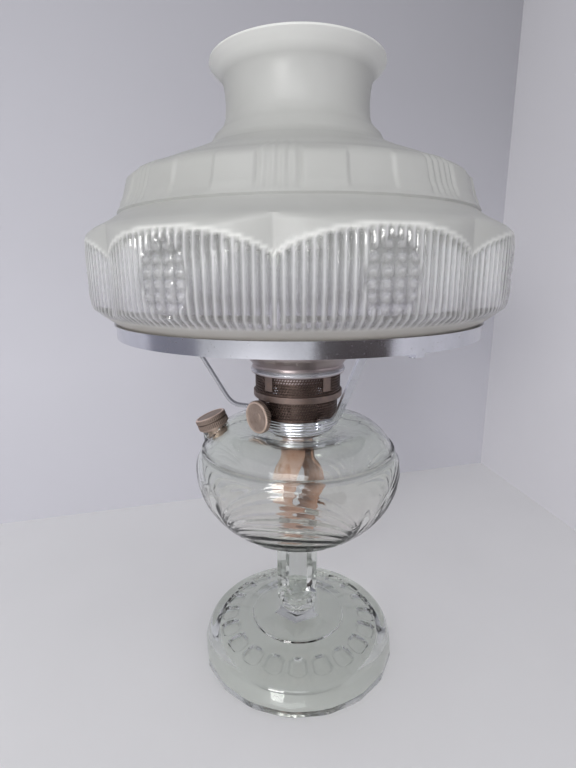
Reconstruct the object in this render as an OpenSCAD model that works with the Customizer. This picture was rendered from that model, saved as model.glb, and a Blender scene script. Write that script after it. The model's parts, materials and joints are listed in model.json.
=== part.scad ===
// Kerosene table lamp: a pressed-glass pedestal and bowl, a round-wick burner,
// a wire-strap tripod with its ring, and a frosted glass shade.
// Millimetres, +Z up, origin at the centre of the foot's underside, front at -Y.

/* [Foot] */
// Radius of the foot over its corners
foot_r = 81; // [74:1:90]
// Number of flat sides round the foot
foot_sides = 18; // [14:1:24]
// Taper of the foot's side wall, inwards
foot_taper = 4; // [1:0.5:6]
// Height of the foot's side wall
foot_edge_h = 19; // [14:0.5:22]
// Rise of the foot's upper face from its edge to the stem
foot_rise = 9; // [6:0.5:12]
// Radius of the flat circle round the stem's root
root_r = 37; // [30:1:44]
// Width of the rim that the foot stands on
foot_rim_w = 10; // [6:0.5:16]
// Height of the hollow under the foot
foot_hollow_h = 14; // [6:1:18]

/* [Stem] */
// Radius of the six-sided stem over its corners
stem_r = 19; // [16:0.5:22]
// Radius of the round waist under the stem
waist_r = 15; // [12:0.5:16]
// Height of the waist above the foot
waist_rise = 10; // [7:0.5:13]
// Height of the whole pedestal, up to the bowl
pedestal_h = 104; // [90:1:125]

/* [Bowl] */
// Largest radius of the bowl
bowl_r = 81.5; // [76:0.5:88]
// Depth of the bowl's round underside below its widest line
bowl_depth = 65; // [56:1:72]
// Thickness of the bowl's glass
bowl_wall = 4; // [3:0.1:5]
// How far the shoulder ridge lies inside the widest line
ridge_in = 6; // [3:0.5:8]
// Height of the shoulder ridge above the widest line
ridge_rise = 15.9; // [12:0.1:20]
// Height of the dome above the shoulder ridge
dome_rise = 18.1; // [15:0.1:22]
// Radius at which the dome is highest
dome_top_r = 51; // [46:0.5:56]
// Dip of the dome down to the neck
dome_dip = 3.5; // [2:0.1:5]
// Height of the glass neck
neck_h = 5.1; // [4:0.1:8]
// Thickness of the glass neck
neck_wall = 3.2; // [2:0.1:4]

/* [Collar and filler] */
// Radius of the collar's bore, which takes the burner
collar_bore_r = 21.3; // [20.5:0.1:22]
// Thickness of the sheet metal
sheet = 0.8; // [0.6:0.1:1]
// Thickness of the plaster under the collar
plaster_t = 1.4; // [0.8:0.1:2]
// Distance of the filler hole from the axis
filler_place_r = 66; // [63:0.5:68]
// Outward tilt of the filler
filler_tilt = 22; // [10:1:30]
// Radius of the hole through the glass
filler_hole_r = 8; // [6:0.1:8.5]
// Radius of the filler's threaded rim
filler_rim_r = 10.9; // [10:0.1:12]
// Height of the filler's threaded rim
filler_rim_h = 8.8; // [6:0.1:11]
// Height of the filler cap
cap_h = 8.4; // [6:0.1:9]
// Thickness of the filler cap's skirt
cap_skirt_t = 1.3; // [0.8:0.1:2]
// Number of ribs round the filler cap
cap_ribs = 36; // [24:2:48]

/* [Tripod] */
// Height of the band round the burner's foot
base_ring_h = 6.2; // [5:0.1:8]
// Thickness of that band
base_ring_t = 1; // [0.8:0.1:1.4]
// Thickness of each leg strap
leg_t = 2; // [1.4:0.1:2.6]
// Width of each leg strap
leg_w = 6; // [4:0.5:8]
// Distance from the axis at which a leg turns upwards
leg_bend_r = 52.5; // [48:0.5:60]
// Height of that bend above the band
leg_bend_rise = 6; // [3:0.5:9]
// Distance from the axis at which a leg turns outwards again
leg_top_r = 83.5; // [76:0.5:92]
// Drop of that bend below the ring
leg_top_drop = 5; // [3:0.5:8]
// Radius of the shade ring's band
ring_r = 130.2; // [124:0.1:138]
// Height of the shade ring's band
ring_h = 9.4; // [7:0.1:12]
// Height of the shade ring above the tripod's band
ring_rise = 65.1; // [58:0.1:75]
// Width of the ledge that carries the shade
ledge_w = 8.4; // [6:0.1:12]
// Radius of the rivets
rivet_r = 1.4; // [1:0.1:1.8]

/* [Burner] */
// Radius of the lower perforated band
basket_r = 31; // [30:0.1:32]
// Height of the lower perforated band
lower_basket_h = 14.5; // [12:0.1:17]
// Height of the plain band between the perforated ones
band_h = 4.8; // [3:0.1:6]
// Height of the upper perforated band
upper_basket_h = 14.2; // [12:0.1:18]
// Depth of the burner's threaded skirt
skirt_h = 14; // [11:0.5:16]
// Radius of the holes in the perforated bands
vent_r = 1.1; // [0.7:0.1:1.3]
// Holes in each row of the perforated bands
vents = 30; // [20:2:32]
// Inner radius of the round wick
wick_r = 11.8; // [11:0.1:12]
// Thickness of the woven wick
wick_t = 2.2; // [1.6:0.1:2.4]
// Height of the wick tubes above the basket
tube_rise = 8; // [6:0.5:12]
// Radius of the gallery's flared lip
lip_r = 42.5; // [39:0.1:44]
// Height of the gallery, bead to lip
gallery_h = 18; // [15:0.5:20]
// Number of spring prongs for the chimney
prongs = 8; // [4:1:10]
// Height of the prongs above the gallery
prong_rise = 36; // [24:1:44]
// Height of the flame spreader
spreader_h = 18; // [12:0.5:20]

/* [Wick raiser] */
// Direction of the knob, turned from the front towards +X
knob_az = -45; // [-50:1:-40]
// Radius of the knob
knob_r = 12.3; // [9:0.1:12.5]
// Thickness of the knob
knob_t = 4.8; // [3:0.1:6]
// Radius of the raiser shaft
shaft_r = 1.6; // [1.2:0.1:1.7]
// Number of teeth of the pinion
pinion_teeth = 8; // [8:1:8]
// Radius of the pinion's pitch circle
pinion_r = 3; // [3:0.1:3]
// How far the wick is raised
wick_travel = 14.1; // [10:0.1:14.1]

/* [Shade] */
// Largest radius of the shade, at the middle of a lobe
shade_r = 146; // [142:0.5:150]
// Radius of the shade at the notch between two lobes
notch_r = 139.6; // [137:0.1:141]
// Number of lobes
lobes = 8; // [8:1:8]
// Direction of the first lobe's middle
lobe_az = 18; // [0:1:45]
// Gap between the shade's hem and the ring's band
hem_gap = 2.4; // [1.6:0.1:4]
// Height of the shade
shade_h = 171.7; // [160:0.1:185]
// Height of the lobed part
belly_h = 55; // [48:0.5:60]
// Height of the bead above the lobed part
bead_rise = 18; // [14:0.5:22]
// Radius of the bead
bead_r = 124.3; // [120:0.1:128]
// Radius of the shoulder's upper corner
corner_r = 116.5; // [110:0.5:118]
// Radius of the throat
throat_r = 49.2; // [44:0.1:56]
// Radius of the rolled rim at the top
rim_r = 59.5; // [57:0.1:66]
// Thickness of the shade's glass
shade_wall = 3.4; // [2.6:0.1:4]
// Depth of the clear panel let into each lobe
panel_in = 1; // [0.6:0.1:1.4]
// Height of a panel's straight sides above the shade's hem
panel_side_h = 39.2; // [34:0.2:42]
// Rise of a panel's arched top above its sides
panel_arch_h = 14; // [8:0.5:15]

/* [Hidden] */
$fn = 96;

// Small gap between parts that are cemented or riveted together
joint_gap = 0.1;
// Running clearance of a shaft or sleeve in its bore
run_gap = 0.05;
// Gap between parts that lift off and what they rest against
loose_gap = 0.3;
// Overshoot of every cut
cut = 1;
// Corner points on each rounded bend
bend_steps = 5;

// Foot and stem
foot_top_z = foot_edge_h + foot_rise;
waist_z = foot_top_z + waist_rise;
stem_round = 14;
foot_turn = -5;
seam_z = pedestal_h;

// Bowl, from the seam upwards
bowl_flat_r = 17.4;
bowl_mid_z = seam_z + bowl_depth * sqrt(1 - pow(bowl_flat_r / bowl_r, 2));
ridge_r = bowl_r - ridge_in;
ridge_z = bowl_mid_z + ridge_rise;
dome_z = ridge_z + dome_rise;
seat_z = dome_z - dome_dip;
seat_r = 30;
neck_z = seat_z + neck_h;
neck_bore_r = collar_bore_r + sheet + loose_gap;
neck_r = neck_bore_r + neck_wall;
collar_r = neck_r + plaster_t + 2 * joint_gap + sheet;
collar_z = neck_z + joint_gap + sheet;
collar_skirt_h = 5.6;
sleeve_h = 6.2;

// Filler, measured along its tilted axis from the glass
boss_rise = 1.6;
boss_depth = 6;
boss_r = filler_rim_r - 0.4;
spigot_depth = 7;
filler_floor_t = 1;
cap_r = filler_rim_r + loose_gap + cap_skirt_t;
gasket_t = 0.7;
cap_top = boss_rise + filler_rim_h + 2 * run_gap + gasket_t + filler_floor_t;
rib_depth = 0.5;
filler_az = -90;

// Burner, from the collar upwards
base_ring_z = collar_z;
base_ring_r = basket_r + 0.4 + base_ring_t;
base_ring_bore = collar_bore_r + loose_gap;
skirt_r = collar_bore_r - run_gap;
shoulder_z = base_ring_z + base_ring_t;
skirt_z = collar_z - skirt_h + base_ring_t;
basket_z = base_ring_z + base_ring_h + loose_gap;
band_z = basket_z + lower_basket_h;
upper_z = band_z + band_h;
upper_r = basket_r + 2;
band_r = upper_r + 1.5;
gallery_z = upper_z + upper_basket_h;
tube_top_z = gallery_z + tube_rise;

// Wick tubes and wick
inner_tube_r = wick_r - loose_gap;
tube_t = 0.6;
carrier_t = 0.6;
carrier_r = wick_r + wick_t + joint_gap + carrier_t;
outer_bore_r = carrier_r + loose_gap;
outer_tube_t = 0.7;
outer_tube_r = outer_bore_r + outer_tube_t;
duct_w = 8;
duct_z = skirt_z + 8;
duct_h = 8;
duct_wall = 0.8;
duct_out_r = outer_tube_r + 0.9;
duct_azimuths = [knob_az + 90, knob_az - 90];
split_z = duct_z + duct_h + 2;
wick_top_z = tube_top_z - 0.5;
slit_gap = 1;
tail_w = 22;
ribbon_t = wick_t - 0.4;
tail_join_z = skirt_z - wick_travel - 5;

// Raiser: pinion, rack and shaft, drawn with the shaft pointing to -Y
shaft_z = basket_z + 3.7;
tooth_out = 0.6;
tooth_in = 0.95;
rack_near = outer_tube_r + 0.4;
rack_thick = 2.2;
rack_back = 2.3;
rack_pitch = 2 * PI * pinion_r / pinion_teeth;
rack_top_z = shaft_z + 3.4;
rack_low_z = shaft_z - wick_travel - 3.6;
arm_z = split_z + 1.5;
arm_h = rack_top_z - arm_z;
arm_reach = 13.9;
bushing_t = 1.25;
bushing_in_r = 21;
nut_h = 3;
flange_t = 1.2;
bushing_out_r = base_ring_r + flange_t + nut_h + 0.2;
knob_in_r = bushing_out_r + loose_gap;
knob_hub_h = 1.6;
knob_out_r = knob_in_r + knob_hub_h + knob_t;

// Gallery and flame spreader
bead_out = 2.1;
bead_h = 4;
deck_z = gallery_z + 4.6;
deck_r = upper_r + 2 - sheet - joint_gap;
deck_bore_r = outer_tube_r + 1.3;
lug_w = 7;
lug_h = 11;
lug_azimuths = [-39, 39, 141, 219];
prong_w = 7;
spreader_z = tube_top_z - 2;
plug_h = 7;

// Tripod ring and legs
ring_z = base_ring_z + base_ring_h + ring_rise;
ring_top_z = ring_z + ring_h;
ring_t = 0.8;
ledge_drop = 1.5;
ledge_z = ring_top_z - ledge_drop;
lip_out = 1.3;
leg_azimuths = [-90, 30, 150];
tab_w = 9;
tab_in_r = ring_r - ledge_w - ring_t;
rivet_place_r = ring_r - 5.2;
head_h = 1;
head_r = 1.6 * rivet_r;
leg_rivet_z = base_ring_z + head_r + 0.2;

// Shade
shade_z = ledge_z + joint_gap;
hem_r = ring_r - ring_t - hem_gap;
lobe_circle_r = (shade_r * shade_r + notch_r * notch_r - 2 * shade_r * notch_r * cos(180 / lobes))
              / (2 * (shade_r - notch_r * cos(180 / lobes)));
lobe_shift = shade_r - lobe_circle_r;
panel_foot_h = 8;
panel_pier = 3;
panel_crown = 0.4;

function unit(v) = v / norm(v);
function left_of(v) = [-v[1], v[0]];

// Point i of path p, moved sideways by d
function beside(p, i, d) =
    let (a = i > 0 ? unit(p[i] - p[i - 1]) : unit(p[1] - p[0]),
         b = i < len(p) - 1 ? unit(p[i + 1] - p[i]) : a,
         n = unit(left_of(a) + left_of(b)))
    p[i] + n * d / (n * left_of(a));

// Outline of a strip of thickness t along path p
function strip(p, t) = concat([for (i = [0:len(p) - 1]) beside(p, i, t / 2)],
                              [for (i = [len(p) - 1:-1:0]) beside(p, i, -t / 2)]);

// Start of the curve that replaces corner q, on its way to r
function corner_start(q, r, reach) = q + unit(r - q) * min(reach, 0.45 * norm(r - q));

// Path p with every inner corner turned into a curve
function rounded(p, reach) =
    concat([p[0]],
           [for (i = [1:len(p) - 2])
                let (a = corner_start(p[i], p[i - 1], reach), c = corner_start(p[i], p[i + 1], reach))
                for (k = [0:bend_steps])
                    let (s = k / bend_steps) (1 - s) * (1 - s) * a + 2 * s * (1 - s) * p[i] + s * s * c],
           [p[len(p) - 1]]);

// Height of the bowl's dome at radius r, for a dome of the given ridge and top
function dome_line(r, rim, rim_z, top_z) =
    r > dome_top_r ? rim_z + (top_z - rim_z) * (1 - pow((r - dome_top_r) / (rim - dome_top_r), 2.4))
                   : top_z - dome_dip * (1 - cos(180 * (dome_top_r - r) / (dome_top_r - seat_r))) / 2;

// Side of the bowl from its underside over the ridge to the neck
function bowl_line(r, depth, low_z, rim, rim_z, top_z) =
    let (start = acos(min(1, (bowl_mid_z - low_z) / depth)),
         steps = 12)
    concat([for (i = [0:steps]) let (a = start + (90 - start) * i / steps)
                [r * sin(a), bowl_mid_z - depth * cos(a)]],
           [for (i = [1:4]) let (t = i / 4)
                [r - (r - rim) * pow(t, 2.2), bowl_mid_z + (rim_z - bowl_mid_z) * t]],
           [for (i = [1:8]) let (x = rim - (rim - dome_top_r) * i / 8)
                [x, dome_line(x, rim, rim_z, top_z)]],
           [for (i = [1:5]) let (x = dome_top_r - (dome_top_r - seat_r) * i / 5)
                [x, dome_line(x, rim, rim_z, top_z)]]);

// Turns a part drawn towards -Y to azimuth az
module toward(az) {
    rotate([0, 0, az]) children();
}

// Moves to the filler's place on the glass, with +Z along its axis
module at_filler() {
    toward(filler_az)
        translate([0, -filler_place_r, dome_line(filler_place_r, ridge_r, ridge_z, dome_z)])
            rotate([filler_tilt, 0, 0])
                children();
}

module turned(points) {
    rotate_extrude() polygon(points);
}

module tube(outer, inner, low, high) {
    translate([0, 0, low])
        difference() {
            cylinder(h = high - low, r = outer);
            translate([0, 0, -cut]) cylinder(h = high - low + 2 * cut, r = inner);
        }
}

// Cylinder that lies along -Y from radius a to radius b at height z
module spoke(r, a, b, z, sides = 96) {
    translate([0, -a, z]) rotate([90, 0, 0]) cylinder(h = b - a, r = r, $fn = sides);
}

// Rows of holes through a band; holes nearer than clear_half to clear_az are left out
module vent_rows(low, high, rows, out_r, clear_az, clear_half) {
    for (row = [0:rows - 1])
        for (i = [0:vents - 1])
            let (az = (i + (row % 2) / 2) * 360 / vents,
                 off = abs(((az - clear_az + 540) % 360) - 180))
                if (off > clear_half)
                    toward(az) spoke(vent_r, out_r - 4, out_r + cut, low + (high - low) * (row + 1) / (rows + 1), 24);
}

module foot_outline() {
    polygon([for (i = [0:foot_sides - 1]) let (a = foot_turn + 90 + i * 360 / foot_sides)
                 foot_r * [cos(a), sin(a)]]);
}

module foot() {
    difference() {
        intersection() {
            linear_extrude(foot_top_z) foot_outline();
            turned([[0, 0], [foot_r, 0], [foot_r - 1, foot_edge_h / 2], [foot_r - foot_taper, foot_edge_h],
                    [foot_r - foot_taper - 4, foot_edge_h + 2], [(foot_r + root_r) / 2 - 6, foot_top_z - 2],
                    [root_r, foot_top_z], [0, foot_top_z]]);
        }
        turned([[0, -cut], [foot_r - foot_rim_w, -cut], [foot_r - foot_rim_w, 0],
                [foot_r - foot_rim_w - 4, foot_hollow_h * 0.6], [root_r, foot_hollow_h], [0, foot_hollow_h]]);
    }
}

module stem() {
    turned(concat([[0, foot_top_z - cut], [root_r, foot_top_z - cut], [root_r, foot_top_z]],
                  [for (i = [1:6]) let (t = i / 6)
                       [waist_r + (root_r - waist_r) * pow(1 - t, 3), foot_top_z + waist_rise * t]],
                  [[waist_r + 0.5, waist_z + 4], [stem_r - 2.4, waist_z + 7], [0, waist_z + 7]]));
    intersection() {
        translate([0, 0, waist_z])
            rotate([0, 0, foot_turn - 90]) cylinder(h = seam_z - waist_z, r = stem_r, $fn = 6);
        turned([[0, waist_z], [waist_r, waist_z], [waist_r + 0.5, waist_z + 4], [stem_r - 2.4, waist_z + 7],
                [stem_r - 0.6, waist_z + stem_round], [stem_r, waist_z + 1.6 * stem_round],
                [stem_r, seam_z], [0, seam_z]]);
    }
}

module pedestal() {
    color("honeydew", 0.5)
        union() {
            foot();
            stem();
        }
}

module font_bowl() {
    outside = bowl_line(bowl_r, bowl_depth, seam_z, ridge_r, ridge_z, dome_z);
    inside = bowl_line(bowl_r - bowl_wall, bowl_depth - bowl_wall - 1, seam_z + bowl_wall + 0.5,
                       ridge_r - bowl_wall + 0.4, ridge_z - bowl_wall / 2, dome_z - bowl_wall);
    color("honeydew", 0.5)
        difference() {
            union() {
                turned(concat([[0, seam_z]], outside, [[neck_r, seat_z], [neck_r, neck_z], [0, neck_z]]));
                at_filler() translate([0, 0, -boss_depth]) cylinder(h = boss_depth + boss_rise, r = boss_r);
            }
            turned(concat([[0, inside[0][1]]], inside,
                          [[neck_bore_r, seat_z - bowl_wall], [neck_bore_r, neck_z + cut], [0, neck_z + cut]]));
            at_filler() translate([0, 0, -2 * boss_depth])
                cylinder(h = 2 * boss_depth + boss_rise + cut, r = filler_hole_r);
        }
}

module collar() {
    color("silver")
        turned([[collar_bore_r, collar_z], [collar_r, collar_z], [collar_r, collar_z - collar_skirt_h],
                [collar_r - sheet, collar_z - collar_skirt_h], [collar_r - sheet, collar_z - sheet],
                [collar_bore_r + sheet, collar_z - sheet], [collar_bore_r + sheet, collar_z - sleeve_h],
                [collar_bore_r, collar_z - sleeve_h]]);
}

module collar_plaster() {
    color("oldlace")
        tube(neck_r + joint_gap + plaster_t, neck_r + joint_gap, seat_z + joint_gap, neck_z);
}

module filler_neck() {
    spigot_r = filler_hole_r - run_gap;
    color("peru")
        at_filler()
            turned([[spigot_r - sheet, -spigot_depth], [spigot_r, -spigot_depth], [spigot_r, boss_rise],
                    [filler_rim_r, boss_rise], [filler_rim_r, boss_rise + filler_rim_h],
                    [filler_rim_r - sheet, boss_rise + filler_rim_h],
                    [filler_rim_r - sheet, boss_rise + filler_floor_t], [spigot_r - sheet, boss_rise + filler_floor_t]]);
}

module filler_cap() {
    low = cap_top - cap_h;
    color("rosybrown")
        at_filler()
            difference() {
                turned([[0, cap_top], [cap_r - 1, cap_top], [cap_r, cap_top - 1], [cap_r, low],
                        [filler_rim_r + loose_gap, low], [filler_rim_r + loose_gap, cap_top - filler_floor_t],
                        [0, cap_top - filler_floor_t]]);
                for (i = [0:cap_ribs - 1])
                    rotate([0, 0, i * 360 / cap_ribs])
                        translate([cap_r, 0, low + cap_h / 2 - 2.6])
                            cylinder(h = cap_h / 2, r = rib_depth, $fn = 4);
            }
}

module cap_gasket() {
    color("saddlebrown")
        at_filler()
            translate([0, 0, cap_top - filler_floor_t - gasket_t])
                cylinder(h = gasket_t, r = filler_rim_r);
}

module tripod_base_ring() {
    top = base_ring_z + base_ring_h;
    wall = base_ring_r - base_ring_t;
    color("silver")
        difference() {
            turned([[base_ring_bore, base_ring_z], [base_ring_r, base_ring_z], [base_ring_r, top],
                    [wall, top], [wall, shoulder_z], [base_ring_bore, shoulder_z]]);
            for (az = leg_azimuths)
                toward(az) spoke(rivet_r + run_gap, wall - cut, base_ring_r + cut, leg_rivet_z, 32);
        }
}

// Centre line of a leg, radius against height
function leg_path() =
    let (root = base_ring_r + leg_t / 2, foot_z = base_ring_z + base_ring_h, under = ring_z - leg_t / 2)
    rounded([[root, base_ring_z + 0.4], [root, foot_z + 2], [root + 5, foot_z + 4.4],
             [leg_bend_r, foot_z + leg_bend_rise], [leg_top_r, ring_z - leg_top_drop],
             [tab_in_r - 3, under], [ring_r, under]], 9);

module tripod_leg(az) {
    color("silver")
        toward(az)
            difference() {
                translate([leg_w / 2, 0, 0])
                    rotate([90, 0, -90])
                        linear_extrude(leg_w) polygon(strip(leg_path(), leg_t));
                spoke(rivet_r + run_gap, base_ring_r - cut, base_ring_r + leg_t + cut, leg_rivet_z, 32);
                translate([0, -rivet_place_r, ring_z - leg_t - cut])
                    cylinder(h = leg_t + 2 * cut, r = rivet_r + run_gap, $fn = 32);
            }
}

module tripod_leg_left() {
    tripod_leg(leg_azimuths[0]);
}

module tripod_leg_right() {
    tripod_leg(leg_azimuths[1]);
}

module tripod_leg_rear() {
    tripod_leg(leg_azimuths[2]);
}

module leg_rivets() {
    color("gray")
        for (az = leg_azimuths)
            toward(az) {
                spoke(rivet_r, base_ring_r - base_ring_t, base_ring_r + leg_t + head_h, leg_rivet_z, 32);
                spoke(head_r, base_ring_r + leg_t, base_ring_r + leg_t + head_h, leg_rivet_z, 32);
            }
}

module shade_ring() {
    color("silver")
        difference() {
            union() {
                turned([[ring_r - ring_t, ring_z], [ring_r, ring_z], [ring_r, ring_top_z - 1],
                        [ring_r + lip_out, ring_top_z - 1], [ring_r + lip_out, ring_top_z],
                        [ring_r - ring_t, ring_top_z], [ring_r - ring_t, ledge_z],
                        [ring_r - ledge_w, ledge_z], [ring_r - ledge_w, ledge_z - ring_t],
                        [ring_r - ring_t, ledge_z - ring_t]]);
                for (az = leg_azimuths)
                    toward(az)
                        intersection() {
                            translate([-tab_w / 2, -ring_r, ring_z])
                                cube([tab_w, ring_r - tab_in_r, ring_t]);
                            cylinder(h = ring_z + ring_h, r = ring_r - ring_t / 2);
                        }
            }
            for (az = leg_azimuths)
                toward(az)
                    translate([0, -rivet_place_r, ring_z - cut])
                        cylinder(h = ring_t + 2 * cut, r = rivet_r + run_gap, $fn = 32);
        }
}

module ring_rivets() {
    low = ring_z - leg_t;
    color("gray")
        for (az = leg_azimuths)
            toward(az)
                translate([0, -rivet_place_r, 0]) {
                    translate([0, 0, low - head_h]) cylinder(h = leg_t + ring_t + 2 * head_h, r = rivet_r, $fn = 32);
                    translate([0, 0, low - head_h]) cylinder(h = head_h, r = head_r, $fn = 32);
                    translate([0, 0, ring_z + ring_t]) cylinder(h = head_h, r = head_r, $fn = 32);
                }
}

module burner_base() {
    color("saddlebrown")
        turned([[outer_bore_r, skirt_z], [skirt_r, skirt_z], [skirt_r, shoulder_z], [basket_r, shoulder_z],
                [basket_r, basket_z], [basket_r - sheet, basket_z], [basket_r - sheet, shoulder_z + sheet],
                [skirt_r - sheet, shoulder_z + sheet], [skirt_r - sheet, skirt_z + sheet],
                [outer_bore_r, skirt_z + sheet]]);
}

module lower_basket() {
    color("saddlebrown")
        difference() {
            tube(basket_r, basket_r - sheet, basket_z, band_z);
            vent_rows(basket_z, band_z, 3, basket_r, knob_az, 12);
            toward(knob_az) spoke(shaft_r + bushing_t + run_gap, basket_r - 4, basket_r + cut, shaft_z);
        }
}

module basket_band() {
    color("sienna")
        turned([[basket_r - sheet, band_z], [band_r, band_z], [band_r, upper_z], [upper_r - sheet, upper_z],
                [upper_r - sheet, upper_z - sheet], [band_r - sheet, upper_z - sheet],
                [band_r - sheet, band_z + sheet], [basket_r - sheet, band_z + sheet]]);
}

module upper_basket() {
    color("saddlebrown")
        difference() {
            tube(upper_r, upper_r - sheet, upper_z, gallery_z);
            vent_rows(upper_z, gallery_z, 3, upper_r, knob_az, 0);
        }
}

// Square window through the wick tubes for each air duct
module duct_windows() {
    for (az = duct_azimuths)
        toward(az)
            translate([-duct_w / 2 - joint_gap, -duct_out_r, duct_z - joint_gap])
                cube([duct_w + 2 * joint_gap, duct_out_r - 4, duct_h + 2 * joint_gap]);
}

module wick_outer_tube() {
    slot_x = pinion_r + tooth_in - 0.4;
    color("sienna")
        difference() {
            tube(outer_tube_r, outer_bore_r, skirt_z + sheet, tube_top_z);
            duct_windows();
            toward(knob_az)
                translate([slot_x, -outer_tube_r - cut, arm_z - 1])
                    cube([rack_back + 0.8, outer_tube_r, arm_h + wick_travel + 2]);
        }
}

module wick_inner_tube() {
    low = duct_z - 2;
    color("sienna")
        difference() {
            turned([[0, low], [inner_tube_r, low], [inner_tube_r, spreader_z], [inner_tube_r - tube_t, spreader_z],
                    [inner_tube_r - tube_t, low + tube_t], [0, low + tube_t]]);
            duct_windows();
        }
}

module air_ducts() {
    color("sienna")
        for (az = duct_azimuths)
            toward(az)
                difference() {
                    translate([-duct_w / 2, -duct_out_r, duct_z])
                        cube([duct_w, duct_out_r - inner_tube_r + 1.3, duct_h]);
                    translate([-duct_w / 2 + duct_wall, -duct_out_r - cut, duct_z + duct_wall])
                        cube([duct_w - 2 * duct_wall, duct_out_r, duct_h - 2 * duct_wall]);
                }
}

// One wick tail: a flat ribbon that hangs from the woven tube into the oil
module wick_tail(az, path) {
    toward(az)
        translate([tail_w / 2, 0, 0])
            rotate([90, 0, -90])
                linear_extrude(tail_w) polygon(strip(rounded(path, 8), ribbon_t));
}

module wick() {
    mid = wick_r + wick_t / 2;
    floor_z = seam_z + bowl_wall + 0.5;
    drop = tail_join_z - floor_z;
    slit = duct_w + 2 * slit_gap;
    color("linen")
        union() {
            difference() {
                tube(wick_r + wick_t, wick_r, tail_join_z, wick_top_z);
                for (az = duct_azimuths)
                    toward(az)
                        translate([-slit / 2, -wick_r - wick_t - cut, tail_join_z - cut])
                            cube([slit, wick_r + wick_t + cut, split_z - tail_join_z + cut]);
            }
            wick_tail(knob_az, [[mid, tail_join_z + 4], [mid, tail_join_z], [mid + 8, floor_z + 0.76 * drop],
                                [mid + 5, floor_z + 0.5 * drop], [mid - 9, floor_z + 0.2 * drop],
                                [mid - 7, floor_z + 4], [mid + 2, floor_z + 3.6]]);
            wick_tail(knob_az + 180, [[mid, tail_join_z + 4], [mid, tail_join_z], [mid + 10, floor_z + 0.74 * drop],
                                      [mid + 8, floor_z + 0.5 * drop], [mid - 3, floor_z + 0.25 * drop],
                                      [mid, floor_z + 5.5], [mid + 9, floor_z + 6]]);
        }
}

module wick_carrier() {
    color("peru")
        tube(carrier_r, carrier_r - carrier_t, split_z, gallery_z - 2);
}

// Flat outline of one rack tooth, pointing to -X from the root line
module rack_tooth() {
    polygon([[0, -0.62], [-tooth_in - tooth_out + 0.1, -0.22], [-tooth_in - tooth_out + 0.1, 0.22], [0, 0.62]]);
}

module wick_rack() {
    root_x = pinion_r + tooth_in;
    count = floor((rack_top_z - rack_low_z) / rack_pitch);
    first = ceil((rack_low_z + 0.7 - shaft_z) / rack_pitch);
    color("peru")
        toward(knob_az) {
            translate([root_x, -rack_near - rack_thick, rack_low_z])
                cube([rack_back, rack_thick, rack_top_z - rack_low_z]);
            for (i = [first:first + count - 1])
                translate([root_x, -rack_near, shaft_z + i * rack_pitch])
                    rotate([90, 0, 0]) linear_extrude(rack_thick) rack_tooth();
            translate([root_x, -rack_near - cut, arm_z])
                cube([rack_back, rack_near + cut - arm_reach, arm_h]);
        }
}

module pinion_outline() {
    root_r = pinion_r - tooth_in + 0.15;
    tip_r = pinion_r + tooth_out - 0.1;
    circle(r = root_r, $fn = 32);
    for (i = [0:pinion_teeth - 1])
        rotate([0, 0, (i + 0.5) * 360 / pinion_teeth])
            polygon([[root_r - 0.5, -0.62], [pinion_r, -0.42], [tip_r, -0.2], [tip_r, 0.2], [pinion_r, 0.42],
                     [root_r - 0.5, 0.62]]);
}

module pinion() {
    color("peru")
        toward(knob_az)
            translate([0, -rack_near, shaft_z])
                rotate([90, 0, 0])
                    difference() {
                        linear_extrude(rack_thick) pinion_outline();
                        translate([0, 0, -cut]) cylinder(h = rack_thick + 2 * cut, r = shaft_r + run_gap / 2);
                    }
}

module knob_shaft() {
    color("peru")
        toward(knob_az) spoke(shaft_r, rack_near, knob_out_r - 1, shaft_z);
}

module shaft_bushing() {
    color("peru")
        toward(knob_az)
            difference() {
                union() {
                    spoke(shaft_r + bushing_t, bushing_in_r, bushing_out_r - 0.2, shaft_z);
                    spoke(shaft_r + bushing_t + 0.8, base_ring_r - 1, base_ring_r + flange_t - 0.2, shaft_z);
                }
                spoke(shaft_r + run_gap, bushing_in_r - cut, bushing_out_r + cut, shaft_z);
            }
}

module packing_nut() {
    color("peru")
        toward(knob_az)
            difference() {
                spoke(shaft_r + bushing_t + 1.3, base_ring_r + flange_t, base_ring_r + flange_t + nut_h, shaft_z, 6);
                spoke(shaft_r + bushing_t + run_gap, base_ring_r, bushing_out_r + cut, shaft_z);
            }
}

module knob() {
    face = knob_in_r + knob_hub_h;
    color("rosybrown")
        toward(knob_az)
            translate([0, 0, shaft_z])
                rotate([90, 0, 0])
                    difference() {
                        turned([[0, knob_in_r], [shaft_r + 2, knob_in_r], [shaft_r + 2, face], [knob_r - 0.6, face],
                                [knob_r, face + 0.6], [knob_r, knob_out_r - 0.8], [knob_r - 0.8, knob_out_r],
                                [0, knob_out_r]]);
                        translate([0, 0, knob_in_r - cut])
                            cylinder(h = knob_out_r - 1 - knob_in_r + cut, r = shaft_r + run_gap / 2);
                    }
}

module gallery() {
    r = upper_r + 2;
    bead_r = r + bead_out - 0.5;
    lip_z = gallery_z + gallery_h;
    inner = upper_r - sheet - run_gap;
    outside = [[inner, gallery_z], [bead_r - 0.6, gallery_z], [bead_r, gallery_z + bead_h / 2],
               [r + 0.6, gallery_z + bead_h], [r, gallery_z + bead_h + 1], [r, gallery_z + bead_h + 2.5],
               [(r + lip_r) / 2 - 0.6, gallery_z + 0.55 * gallery_h], [lip_r - 0.5, lip_z - 4],
               [lip_r, lip_z - 2], [lip_r, lip_z]];
    inside = [for (i = [len(outside) - 1:-1:1]) outside[i] + [-sheet, i == 1 ? sheet : 0]];
    color("sienna")
        turned(concat([[inner, gallery_z - 5]], outside, inside,
                      [[inner - sheet, gallery_z + sheet], [inner - sheet, gallery_z - 5]]));
}

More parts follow.
